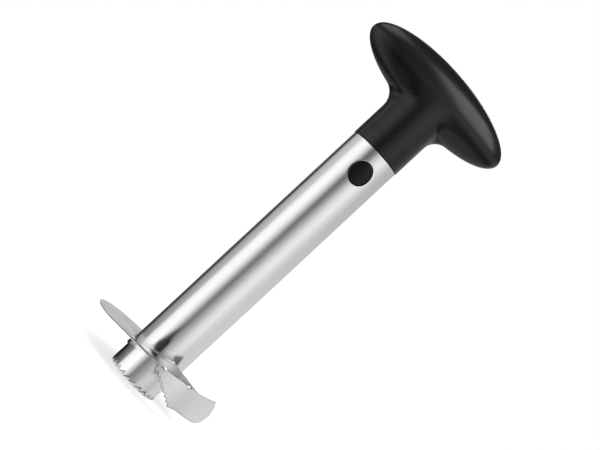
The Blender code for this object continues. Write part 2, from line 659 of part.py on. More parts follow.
def make_latch_body():
    """The plug in the tube's top: it guides both buttons, and the handle's shells close round its waist and head."""
    rings = [
        circle(LATCH_RADIUS, LATCH_BOTTOM, ROUND_SIDES),
        circle(LATCH_RADIUS, TUBE_LENGTH, ROUND_SIDES),
        circle(LATCH_WAIST_RADIUS, TUBE_LENGTH, ROUND_SIDES),
        circle(LATCH_WAIST_RADIUS, LATCH_HEAD_BOTTOM, ROUND_SIDES),
        circle(LATCH_HEAD_RADIUS, LATCH_HEAD_BOTTOM, ROUND_SIDES),
        circle(LATCH_HEAD_RADIUS, LATCH_HEAD_TOP, ROUND_SIDES),
    ]
    latch = loft("latch_body", rings, black_plastic("latch_plastic"))
    for side, name in ((-1, "front"), (1, "rear")):
        near, far = sorted((side * LATCH_HEAD_HALF_DEPTH, side * (LATCH_HEAD_RADIUS + OVERRUN)))
        reach = LATCH_HEAD_RADIUS + OVERRUN
        low = (-reach, near, LATCH_HEAD_BOTTOM)
        apply_boolean(latch, block(f"latch_flat_{name}", low, (reach, far, LATCH_HEAD_TOP + OVERRUN)))
    guide_x = BUTTON_HALF_WIDTH + BUTTON_FLANGE_WIDTH + SEAT_GAP
    guide_z = BUTTON_HALF_HEIGHT + BUTTON_FLANGE_WIDTH + SEAT_GAP
    guide_y = BUTTON_FLANGE_OUTER + SEAT_GAP
    guide = loft("latch_guide", [oval(guide_x, guide_z, y, OVAL_SIDES) for y in (-guide_y, guide_y)])
    apply_boolean(latch, guide)
    guide.location.z = BUTTON_HEIGHT
    low = (-guide_x, -guide_y, LATCH_BOTTOM - OVERRUN)
    apply_boolean(latch, block("latch_pocket", low, (guide_x, guide_y, BUTTON_HEIGHT)))
    window = button_prism("latch_window", SEAT_GAP, -LATCH_RADIUS - OVERRUN, LATCH_RADIUS + OVERRUN)
    apply_boolean(latch, window)
    window.location.z = BUTTON_HEIGHT
    core_bottom = BUTTON_HEIGHT + guide_z + LATCH_CORE_FLOOR_THICKNESS
    core = loft("latch_core", [
        circle(LATCH_CORE_RADIUS, z, SMALL_SIDES) for z in (core_bottom, LATCH_HEAD_TOP + OVERRUN)
    ])
    apply_boolean(latch, core)
    for number, x in enumerate((-CAP_SCREW_SPREAD_WIDTH, CAP_SCREW_SPREAD_WIDTH), 1):
        top = LATCH_BOTTOM + CAP_SCREW_LENGTH
        pilot = loft(f"latch_pilot_{number}", [
            circle(CAP_SCREW_RADIUS + SEAT_GAP, z, SMALL_SIDES, (x, 0)) for z in (LATCH_BOTTOM - OVERRUN, top)
        ])
        apply_boolean(latch, pilot)


def make_latch_cap():
    """The cap under the latch body, with the tongue and posts that both springs push against, and its screws."""
    top = LATCH_BOTTOM - SEAT_GAP
    bottom = top - CAP_THICKNESS
    cap = loft(
        "latch_cap", [circle(LATCH_RADIUS, z, ROUND_SIDES) for z in (bottom, top)], black_plastic("cap_plastic")
    )
    tongue_top = BUTTON_HEIGHT + CAP_TONGUE_RISE_HEIGHT
    low = (-CAP_TONGUE_HALF_WIDTH, -CAP_TONGUE_HALF_DEPTH, (bottom + top) / 2)
    high = (CAP_TONGUE_HALF_WIDTH, CAP_TONGUE_HALF_DEPTH, tongue_top)
    apply_boolean(cap, block("cap_tongue", low, high), "UNION")
    # The two ribs beside the tongue stop both buttons' flanges at the end of their travel.
    stop_reach = BUTTON_FLANGE_INNER - BUTTON_TRAVEL - SEAT_GAP
    for side, name in ((-1, "left"), (1, "right")):
        inner = CAP_TONGUE_HALF_WIDTH - CAP_STOP_WIDTH / 4
        near, far = sorted((side * inner, side * (inner + CAP_STOP_WIDTH)))
        low, high = (near, -stop_reach, (bottom + top) / 2), (far, stop_reach, BUTTON_HEIGHT)
        apply_boolean(cap, block(f"cap_stop_{name}", low, high), "UNION")
    post_end = CAP_TONGUE_HALF_DEPTH + CAP_POST_LENGTH
    post = rod_y("cap_post", CAP_POST_RADIUS, -post_end, post_end, (0, BUTTON_HEIGHT))
    apply_boolean(cap, post, "UNION")
    seat = bottom + CAP_SCREW_HEAD_HEIGHT + SEAT_GAP
    for number, x in enumerate((-CAP_SCREW_SPREAD_WIDTH, CAP_SCREW_SPREAD_WIDTH), 1):
        spots = ((CAP_SCREW_RADIUS, top + OVERRUN, "hole"), (CAP_SCREW_HEAD_RADIUS, seat, "seat"))
        for radius, end, what in spots:
            rings = [circle(radius + SEAT_GAP, z, SMALL_SIDES, (x, 0)) for z in (bottom - OVERRUN, end)]
            apply_boolean(cap, loft(f"cap_{what}_{number}", rings))
        screw = make_screw(
            f"latch_screw_{number}", CAP_SCREW_RADIUS, CAP_SCREW_LENGTH, CAP_SCREW_HEAD_RADIUS,
            CAP_SCREW_HEAD_HEIGHT,
        )
        screw.location = (x, 0, seat - SEAT_GAP)
        screw.rotation_euler.x = math.pi


def main():
    clear_scene()
    make_core_tube()
    make_slicing_ring()
    make_rim_blade()
    make_welds()
    make_handle_shell("handle_front_shell", -1)
    make_handle_shell("handle_rear_shell", 1)
    make_handle_screws()
    make_latch_body()
    make_latch_cap()
    for name, turn in (("front", 0.0), ("rear", math.pi)):
        make_button(f"{name}_button", turn)
        make_spring(f"{name}_spring", turn)


main()
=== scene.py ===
"""Pineapple slicer: a toothed steel tube, a climbing slicing ring and a rim blade, under a black T-handle.

Metres, +Z up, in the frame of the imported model. The origin is on the tube's axis, level with the tips of its
teeth. Angles are in degrees about Z, from -Y (the front) towards +X (the right).
"""

import logging
import math
from collections.abc import Iterable
from dataclasses import dataclass, field, replace
from enum import Enum

import bmesh
import bpy
import numpy as np
from mathutils import Matrix, Vector


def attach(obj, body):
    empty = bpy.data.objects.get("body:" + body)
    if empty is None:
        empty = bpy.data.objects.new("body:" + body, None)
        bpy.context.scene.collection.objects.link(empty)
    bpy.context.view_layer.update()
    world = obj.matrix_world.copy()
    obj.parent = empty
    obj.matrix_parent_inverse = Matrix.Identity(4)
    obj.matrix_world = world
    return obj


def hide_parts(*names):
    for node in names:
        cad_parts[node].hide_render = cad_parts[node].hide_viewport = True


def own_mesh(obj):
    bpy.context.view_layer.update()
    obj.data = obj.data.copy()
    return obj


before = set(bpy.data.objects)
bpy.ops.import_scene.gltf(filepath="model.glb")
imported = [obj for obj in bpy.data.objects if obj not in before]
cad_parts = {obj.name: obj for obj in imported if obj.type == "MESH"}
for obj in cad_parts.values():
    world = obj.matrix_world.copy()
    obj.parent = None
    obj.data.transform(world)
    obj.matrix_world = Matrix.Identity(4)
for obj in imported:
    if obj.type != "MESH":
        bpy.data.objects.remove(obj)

log = logging.getLogger("pineapple_slicer")

Array = np.ndarray
Number = Array | float
Row = tuple[Number, Number, Number]
Block = tuple[slice, slice]
Colour = tuple[float, float, float]
Piece = bpy.types.Object
Material = bpy.types.Material
Socket = bpy.types.NodeSocket
Value = Socket | float

MM = 0.001
SEAT_GAP = 0.3 * MM
BUTTON_HEIGHT = 165.7 * MM
BLADE_START = -10.0
WELD_ANGLES = (-0.6, 23.5)
GROUND = "ground"


# Arrays of points


def points_of(x: Number, y: Number, z: Number) -> Array:
    """Points from their three coordinates, spread to one shape."""
    return np.stack(np.broadcast_arrays(x, y, z), axis=-1)


def polar(radius: Number, angle: Number, height: Number) -> Array:
    """Points at a radius, an angle from the front in degrees and a height: (r sin a, -r cos a, z)."""
    turn = np.radians(angle)
    return points_of(radius * np.sin(turn), -radius * np.cos(turn), height)


def turned(radius: Number, turn: Number, height: Number) -> Array:
    """Points at a radius, a turn from +X in radians and a height: (r cos t, r sin t, z)."""
    return points_of(radius * np.cos(turn), radius * np.sin(turn), height)


def upright_ring(place: tuple[float, float], radius: float, turn: Array, y: float) -> Array:
    """A ring across Y round a place in X and Z: (x + r cos t, y, z + r sin t)."""
    return points_of(place[0] + radius * np.cos(turn), y, place[1] + radius * np.sin(turn))


def whole_turn(count: int) -> Array:
    """Even turns once round in radians, without the last, which is the first again."""
    return np.linspace(0, 2 * math.pi, count, endpoint=False)


def swept(profile: list[Row], angle: Array) -> tuple[Array, Array]:
    """Carries a profile round the tube's axis.

    Args:
        profile: radius, height and ground mark of each row, as one value or one for each column.
        angle: the angle of each column.

    Returns:
        The points and their marks, each as a grid of rows and columns.
    """
    points = np.stack([polar(radius, angle, z) for radius, z, _ in profile])
    marks = np.stack([np.broadcast_to(mark, angle.shape) for _, _, mark in profile])
    return points, marks


def placed(points: Array, place: Matrix) -> Array:
    """Points turned and moved by a matrix: each times its turn, plus its shift."""
    matrix = np.array(place)
    return points @ matrix[:3, :3].T + matrix[:3, 3]


def at_button(points: Array, side: float) -> Array:
    """Brings points made for the front about Z = 0 to a button.

    Args:
        points: the points, which are changed.
        side: -1 for the front button, 1 for the rear one.

    Returns:
        The same points, turned to their side and lifted to the buttons' height.
    """
    points[..., :2] *= -side
    points[..., 2] += BUTTON_HEIGHT
    return points


def smooth_step(share: Number) -> Array:
    """Eases from 0 to 1: 3 s squared less 2 s cubed, held at both ends."""
    share = np.clip(share, 0, 1)
    return share * share * (3 - 2 * share)


def quarter_round(distance: Array, radius: float) -> Array:
    """How far a rounded edge stands back at a distance: r less the root of r squared less (r - d) squared."""
    near = np.clip(radius - distance, 0, radius)
    return radius - np.sqrt(radius**2 - near**2)


def lumps(points: Array, size: float, seed: int) -> Array:
    """An uneven value at each point, from about -1 to 1: the mean of five sines of tilted planes through it.

    Args:
        points: the places, as an array (..., 3).
        size: the length of a lump.
        seed: picks the tilts.

    Returns:
        One value for each point.
    """
    waves, mean_tilt, widen = 5, 1.7, 1.6
    chance = np.random.default_rng(seed)
    tilts = chance.normal(size=(waves, 3)) * 2 * math.pi / size / mean_tilt
    starts = chance.uniform(0, 2 * math.pi, size=waves)
    return np.sin(points @ tilts.T + starts).mean(axis=-1) * widen


def border(block: Block) -> tuple[Array, Array]:
    """Row and column numbers of the points round a block of a grid, once round without repeating the first.

    Args:
        block: the block's first and last row, and its first and last column.

    Returns:
        Two arrays of numbers, for the rows and the columns.
    """
    low, high, left, right = block[0].start, block[0].stop, block[1].start, block[1].stop
    up, across = np.arange(low, high), np.arange(left, right)
    row = np.concatenate([np.full(len(across), low), up, np.full(len(across), high), up[::-1] + 1])
    column = np.concatenate([across, np.full(len(up), right), across[::-1] + 1, np.full(len(up), left)])
    return row, column


def between(outer: Array, inner: Array, shares: Array) -> Array:
    """Rings from an outline in to a hole: outer (1 - s) + inner s for each share s."""
    return outer[None] + (inner - outer)[None] * shares[:, None, None]


# Meshes


@dataclass
class Skin:
    """Gathers grids of points into one mesh, and joins them where they meet."""

    name: str
    points: list[Array] = field(default_factory=list)
    faces: list[Array] = field(default_factory=list)
    ends: list[list[int]] = field(default_factory=list)
    marks: list[Array] = field(default_factory=list)
    count: int = 0
    merge: float = 2e-6
    least_edge: float = 1e-7

    def hold(self, points: Array, marks: Array) -> None:
        """Keeps points for the mesh.

        Args:
            points: the points, as one list.
            marks: 1 for each point on a ground surface, 0 for the others.
        """
        self.points.append(points)
        self.marks.append(marks)
        self.count += len(points)

    def grid(
        self,
        points: Array,
        round_rows: bool = False,
        round_columns: bool = False,
        ground: Number = 0.0,
        leave_out: Iterable[Block] = (),
    ) -> None:
        """Adds a face for each cell of a grid.

        Args:
            points: the grid, as (rows, columns, 3).
            round_rows: joins the last row to the first.
            round_columns: joins the last column to the first.
            ground: 1 where the surface is ground, 0 where it isn't.
            leave_out: blocks of cells that get no face.
        """
        rows, columns = points.shape[:2]
        index = self.count + np.arange(rows * columns).reshape(rows, columns)
        index = np.vstack([index, index[:1]]) if round_rows else index
        index = np.hstack([index, index[:, :1]]) if round_columns else index
        cells = np.stack([index[:-1, :-1], index[:-1, 1:], index[1:, 1:], index[1:, :-1]], axis=-1)
        keep = np.ones(cells.shape[:2], bool)
        for block in leave_out:
            keep[block] = False
        self.faces.append(cells[keep])
        self.hold(points.reshape(-1, 3), np.broadcast_to(ground, (rows, columns)).reshape(-1))

    def cap(self, points: Array, ground: float = 0.0) -> None:
        """Closes an outline with one face.

        Args:
            points: the outline's points in order.
            ground: 1 for a ground face, 0 for a plain one.
        """
        self.ends.append(list(range(self.count, self.count + len(points))))
        self.hold(points, np.full(len(points), ground))

    def build(self, sharp: float = 35.0) -> Piece:
        """Makes the object: merges doubles, turns faces outwards, and shades it smooth up to the sharp angle.

        Args:
            sharp: the angle in degrees past which an edge stays crisp.

        Returns:
            The object, at the origin.
        """
        mesh = bpy.data.meshes.new(self.name)
        points = np.concatenate(self.points)
        mesh.from_pydata(points.tolist(), [], np.concatenate(self.faces).tolist() + self.ends)
        mark = mesh.attributes.new(GROUND, "FLOAT", "POINT")
        mark.data.foreach_set("value", np.concatenate(self.marks).astype(np.float32))
        work = bmesh.new()
        work.from_mesh(mesh)
        bmesh.ops.remove_doubles(work, verts=work.verts, dist=self.merge)
        bmesh.ops.dissolve_degenerate(work, edges=work.edges, dist=self.least_edge)
        bmesh.ops.recalc_face_normals(work, faces=work.faces)
        work.to_mesh(mesh)
        work.free()
        mesh.shade_smooth()
        mesh.set_sharp_from_angle(angle=math.radians(sharp))
        piece = bpy.data.objects.new(self.name, mesh)
        bpy.context.scene.collection.objects.link(piece)
        return piece


def coat(piece: Piece, material: Material) -> None:
    """Gives a piece this material and no other."""
    piece.data.materials.clear()
    piece.data.materials.append(material)


def settle(piece: Piece, material: Material, stands_for: str, body: str = "slicer") -> Piece:
    """Dresses a new piece, puts it on its body, and lets it stand for a CAD node.

    Args:
        piece: the finished piece.
        material: its finish.
        stands_for: the CAD node that it replaces.
        body: the CAD body that it moves with.

    Returns:
        The piece.
    """
    coat(piece, material)
    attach(piece, body)
    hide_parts(stands_for)
    log.info("%s: %d faces on %s", piece.name, len(piece.data.polygons), body)
    return piece


# Shader nodes


@dataclass
class Nodes:
    """A small hand for wiring a node tree."""

    tree: bpy.types.NodeTree

    def feed(self, node: bpy.types.Node, inputs: dict[str | int, object]) -> None:
        """Sets or links the inputs of a node.

        Args:
            node: the node.
            inputs: values or other nodes' sockets, by the input's name or number.
        """
        for key, value in inputs.items():
            if isinstance(value, Socket):
                self.tree.links.new(value, node.inputs[key])
            else:
                node.inputs[key].default_value = value

    def add(
        self, kind: str, inputs: dict[str | int, object] | None = None, **settings: object
    ) -> bpy.types.Node:
        """Adds a node.

        Args:
            kind: the node's type.
            inputs: values or other nodes' sockets, by the input's name or number.
            settings: the node's own properties.

        Returns:
            The node.
        """
        node = self.tree.nodes.new(kind)
        for name, value in settings.items():
            setattr(node, name, value)
        self.feed(node, inputs or {})
        return node

    def group(self, tree: bpy.types.NodeTree, **inputs: object) -> bpy.types.bpy_prop_collection:
        """The outputs of a node group, with a space in an input's name written as a low line."""
        named = {name.replace("_", " "): value for name, value in inputs.items()}
        return self.add("ShaderNodeGroup", named, node_tree=tree).outputs

    def place(self) -> Socket:
        """The place on the piece, in the piece's own frame."""
        return self.add("ShaderNodeTexCoord").outputs["Object"]

    def maths(self, operation: str, first: Value, second: Value = 0.0, third: Value = 0.0) -> Socket:
        """The result of a Math node on up to three values or sockets."""
        return self.add("ShaderNodeMath", {0: first, 1: second, 2: third}, operation=operation).outputs[0]

    def noise(self, place: Socket, scale: Value, detail: float = 2.0, rough: float = 0.5) -> Socket:
        """A Noise texture's factor at this place."""
        inputs = {"Vector": place, "Scale": scale, "Detail": detail, "Roughness": rough}
        return self.add("ShaderNodeTexNoise", inputs).outputs["Fac"]

    def fit(
        self, value: Value, low: float, high: float, to_low: float = 0.0, to_high: float = 1.0
    ) -> Socket:
        """A value moved from one range to another and held there."""
        inputs = {0: value, 1: low, 2: high, 3: to_low, 4: to_high}
        return self.add("ShaderNodeMapRange", inputs).outputs[0]

    def about(self, share: Socket, middle: float, spread: float) -> Socket:
        """A share from 0 to 1 moved to a middle give or take a spread."""
        return self.fit(share, 0.0, 1.0, middle - spread, middle + spread)

    def mix(self, share: Socket, first: Value, second: Value) -> Socket:
        """A number mixed from two by a share."""
        return self.add("ShaderNodeMix", {0: share, 2: first, 3: second}, data_type="FLOAT").outputs[0]

    def blend(self, share: Socket, first: object, second: object) -> Socket:
        """A colour mixed from two by a share."""
        return self.add("ShaderNodeMix", {0: share, 6: first, 7: second}, data_type="RGBA").outputs[2]

    def lifted(self, height: Socket) -> Socket:
        """The normal of a surface that is raised by this height in metres."""
        return self.add("ShaderNodeBump", {"Strength": 1.0, "Distance": 1.0, "Height": height}).outputs[0]


def tint(colour: Colour, share: float = 1.0, more: float = 0.0) -> tuple[float, ...]:
    """A colour times a share, with a little more of each part, as a socket takes it."""
    return (*(share * part + more for part in colour), 1.0)


def grey(level: float) -> tuple[float, ...]:
    """A grey of this level, as a socket takes it."""
    return tint((level, level, level))


def new_material(name: str) -> tuple[Material, Nodes, bpy.types.Node]:
    """A new material with its shader.

    Args:
        name: the material's name.

    Returns:
        The material, a hand for its nodes, and its shader.
    """
    material = bpy.data.materials.new(name)
    material.use_nodes = True
    return material, Nodes(material.node_tree), material.node_tree.nodes["Principled BSDF"]


def new_group(
    name: str, numbers: dict[str, float], results: tuple[str, ...]
) -> tuple[bpy.types.NodeTree, Nodes, bpy.types.Node, bpy.types.Node]:
    """An empty shader group that takes a place and numbers and gives numbers.

    Args:
        name: the group's name.
        numbers: name and value of each input beside Place.
        results: the name of each output.

    Returns:
        The group, a hand for its nodes, its input node and its output node.
    """
    group = bpy.data.node_groups.new(name, "ShaderNodeTree")
    group.interface.new_socket(name="Place", in_out="INPUT", socket_type="NodeSocketVector")
    for label, value in numbers.items():
        socket = group.interface.new_socket(name=label, in_out="INPUT", socket_type="NodeSocketFloat")
        socket.default_value = value
    for label in results:
        group.interface.new_socket(name=label, in_out="OUTPUT", socket_type="NodeSocketFloat")
    hand = Nodes(group)
    return group, hand, hand.add("NodeGroupInput"), hand.add("NodeGroupOutput")


def brushed_grain_group() -> bpy.types.NodeTree:
    """Grain of brushed metal: fine and coarse noise on stretched coordinates, and sparse deeper scratches.

    Returns:
        The group.
    """
    group, hand, start, end = new_group("brushed_grain", {"Fineness": 1.0}, ("Grain", "Scratches"))
    place, fineness = start.outputs["Place"], start.outputs["Fineness"]
    fine = hand.noise(place, fineness, detail=3.0, rough=0.6)
    coarse = hand.noise(place, hand.maths("MULTIPLY", fineness, 0.17))
    mixed = hand.maths("ADD", hand.maths("MULTIPLY", fine, 0.6), hand.maths("MULTIPLY", coarse, 0.4))
    deep = hand.noise(place, hand.maths("MULTIPLY", fineness, 0.6), detail=1.0, rough=0.4)
    hand.feed(end, {"Grain": hand.fit(mixed, 0.3, 0.7), "Scratches": hand.fit(deep, 0.68, 0.76)})
    return group


def handling_marks_group() -> bpy.types.NodeTree:
    """Faint marks of handling and storage: soft clouds.

    Returns:
        The group.
    """
    group, hand, start, end = new_group("handling_marks", {"Cloud Scale": 60.0}, ("Clouds",))
    clouds = hand.noise(start.outputs["Place"], start.outputs["Cloud Scale"], detail=4.0, rough=0.55)
    hand.feed(end, {"Clouds": hand.fit(clouds, 0.35, 0.7)})
    return group


def moulded_texture_group() -> bpy.types.NodeTree:
    """The fine pebbled skin of moulded plastic: small cells over finer noise.

    Returns:
        The group.
    """
    group, hand, start, end = new_group("moulded_texture", {"Pebble Scale": 2600.0}, ("Height", "Sheen"))
    place, scale = start.outputs["Place"], start.outputs["Pebble Scale"]
    inputs = {"Vector": place, "Scale": scale}
    cells = hand.add("ShaderNodeTexVoronoi", inputs, feature="SMOOTH_F1").outputs["Distance"]
    fine = hand.noise(place, hand.maths("MULTIPLY", scale, 1.9), rough=0.6)
    height = hand.maths("ADD", hand.maths("MULTIPLY", cells, 0.6), hand.maths("MULTIPLY", fine, 0.5))
    hand.feed(end, {"Height": height, "Sheen": hand.fit(fine, 0.35, 0.65)})
    return group


# Finishes


@dataclass(frozen=True)
class SharedEffects:
    """The node groups that more than one finish uses."""

    grain: bpy.types.NodeTree
    marks: bpy.types.NodeTree
    moulding: bpy.types.NodeTree

    @classmethod
    def make(cls) -> "SharedEffects":
        """Builds each group once."""
        return cls(brushed_grain_group(), handling_marks_group(), moulded_texture_group())


class GrainRun(Enum):
    """Which way the grain of a metal runs: the coordinate scale that stretches it."""

    UPRIGHT = (1.0, 1.0, 0.012)
    LEVEL = (0.02, 0.02, 1.0)
    SHEET = (0.05, 0.05, 0.4)
    EVEN = (1.0, 1.0, 1.0)


@dataclass(frozen=True)
class Metal:
    """A metal finish: its grain, its handling marks and, where the mesh is marked so, its ground edges."""

    name: str
    colour: Colour
    roughness: float
    run: GrainRun
    fineness: float = 9000.0
    roughness_spread: float = 0.05
    grain_depth: float = 0.0000012
    grain_shade: float = 0.93
    smudge: float = 0.05
    scratch: float = 0.1
    ground_colour: Colour = (0.62, 0.62, 0.62)
    ground_shade: float = 0.7
    ground_roughness: float = 0.34
    ground_depth: float = 0.000006
    stroke_scale: float = 5200.0

    def material(self, shared: SharedEffects) -> Material:
        """The finish as a material: grain and marks vary its colour and roughness and lift its normal.

        Args:
            shared: the node groups.

        Returns:
            The material.
        """
        material, hand, shader = new_material(self.name)
        place = hand.place()
        stretched = hand.add("ShaderNodeMapping", {"Vector": place, "Scale": self.run.value}).outputs[0]
        brushed = hand.group(shared.grain, Place=stretched, Fineness=self.fineness)
        clouds = hand.group(shared.marks, Place=place)["Clouds"]
        grain, scratches = brushed["Grain"], brushed["Scratches"]
        ground = hand.add("ShaderNodeAttribute", attribute_name=GROUND).outputs["Fac"]
        strokes = hand.noise(place, self.stroke_scale, rough=0.6)
        satin_dark = tint(self.colour, self.grain_shade)
        satin_colour = hand.blend(grain, satin_dark, tint(self.colour))
        cut_dark = tint(self.ground_colour, self.ground_shade)
        cut_colour = hand.blend(strokes, cut_dark, tint(self.ground_colour))
        rough = hand.about(grain, self.roughness, self.roughness_spread)
        smudged = hand.maths("MULTIPLY_ADD", clouds, self.smudge, rough)
        scored = hand.maths("MULTIPLY_ADD", scratches, self.scratch, smudged)
        satin = hand.maths("MULTIPLY", scored, hand.maths("SUBTRACT", 1.0, ground))
        cut = hand.maths("MULTIPLY", ground, self.ground_roughness)
        lift = hand.maths("MULTIPLY", grain, self.grain_depth)
        scrape = hand.maths("MULTIPLY", hand.maths("MULTIPLY", strokes, ground), self.ground_depth)
        hand.feed(shader, {
            "Base Color": hand.blend(ground, satin_colour, cut_colour),
            "Metallic": 1.0,
            "Roughness": hand.maths("ADD", satin, cut),
            "Normal": hand.lifted(hand.maths("ADD", lift, scrape)),
        })
        return material


@dataclass(frozen=True)
class Plastic:
    """A moulded plastic finish with a pebbled skin and faint rubbed clouds."""

    name: str
    colour: Colour
    roughness: float
    pebble_scale: float = 2600.0
    pebble_depth: float = 0.00002
    roughness_spread: float = 0.06
    specular: float = 0.35
    rubbed_share: float = 1.6
    rubbed_more: float = 0.001
    rubbed_shine: float = -0.05

    def material(self, shared: SharedEffects) -> Material:
        """The finish as a material: pebbles lift its normal, and clouds vary its roughness and colour.

        Args:
            shared: the node groups.

        Returns:
            The material.
        """
        material, hand, shader = new_material(self.name)
        place = hand.place()
        skin = hand.group(shared.moulding, Place=place, Pebble_Scale=self.pebble_scale)
        clouds = hand.group(shared.marks, Place=place)["Clouds"]
        rubbed = tint(self.colour, self.rubbed_share, self.rubbed_more)
        rough = hand.about(skin["Sheen"], self.roughness, self.roughness_spread)
        hand.feed(shader, {
            "Base Color": hand.blend(clouds, tint(self.colour), rubbed),
            "Metallic": 0.0,
            "Roughness": hand.maths("MULTIPLY_ADD", clouds, self.rubbed_shine, rough),
            "IOR": 1.5,
            "Specular IOR Level": self.specular,
            "Normal": hand.lifted(hand.maths("MULTIPLY", skin["Height"], self.pebble_depth)),
        })
        return material


@dataclass(frozen=True)
class Finishes:
    """Every finish of the tool, made into a material."""

    tube: Material
    ring: Material
    blade: Material
    weld: Material
    screw: Material
    spring: Material
    handle: Material
    button: Material
    latch: Material

    @classmethod
    def make(cls) -> "Finishes":
        """Builds the node groups, then a material for each finish.

        Returns:
            The finishes.
        """
        shared = SharedEffects.make()
        recipes = {
            "tube": Metal("polished_steel", (0.74, 0.74, 0.735), 0.14, GrainRun.UPRIGHT),
            "ring": Metal(
                "blade_steel_level",
                (0.72, 0.72, 0.715),
                0.12,
                GrainRun.SHEET,
                roughness_spread=0.03,
                grain_depth=0.000001,
                ground_colour=(0.9, 0.9, 0.9),
                ground_roughness=0.07,
                ground_depth=0.0000005,
            ),
            "blade": Metal(
                "blade_steel_upright", (0.79, 0.79, 0.785), 0.2, GrainRun.LEVEL, roughness_spread=0.03
            ),
            "weld": Metal(
                "weld_steel",
                (0.72, 0.71, 0.695),
                0.2,
                GrainRun.EVEN,
                fineness=2600.0,
                roughness_spread=0.1,
                grain_depth=0.00001,
            ),
            "screw": Metal("screw_steel", (0.6, 0.6, 0.6), 0.3, GrainRun.EVEN, fineness=4000.0),
            "spring": Metal("spring_steel", (0.6, 0.6, 0.6), 0.25, GrainRun.EVEN, fineness=5000.0),
            "handle": Plastic("handle_plastic", (0.0025, 0.0025, 0.0026), 0.29),
            "button": Plastic(
                "button_plastic", (0.002, 0.002, 0.0021), 0.3, pebble_scale=3600.0, pebble_depth=0.000008,
                specular=0.2,
            ),
            "latch": Plastic(
                "latch_plastic", (0.02, 0.02, 0.021), 0.5, pebble_scale=1500.0, roughness_spread=0.1
            ),
        }
        return cls(**{part: recipe.material(shared) for part, recipe in recipes.items()})


# Core tube


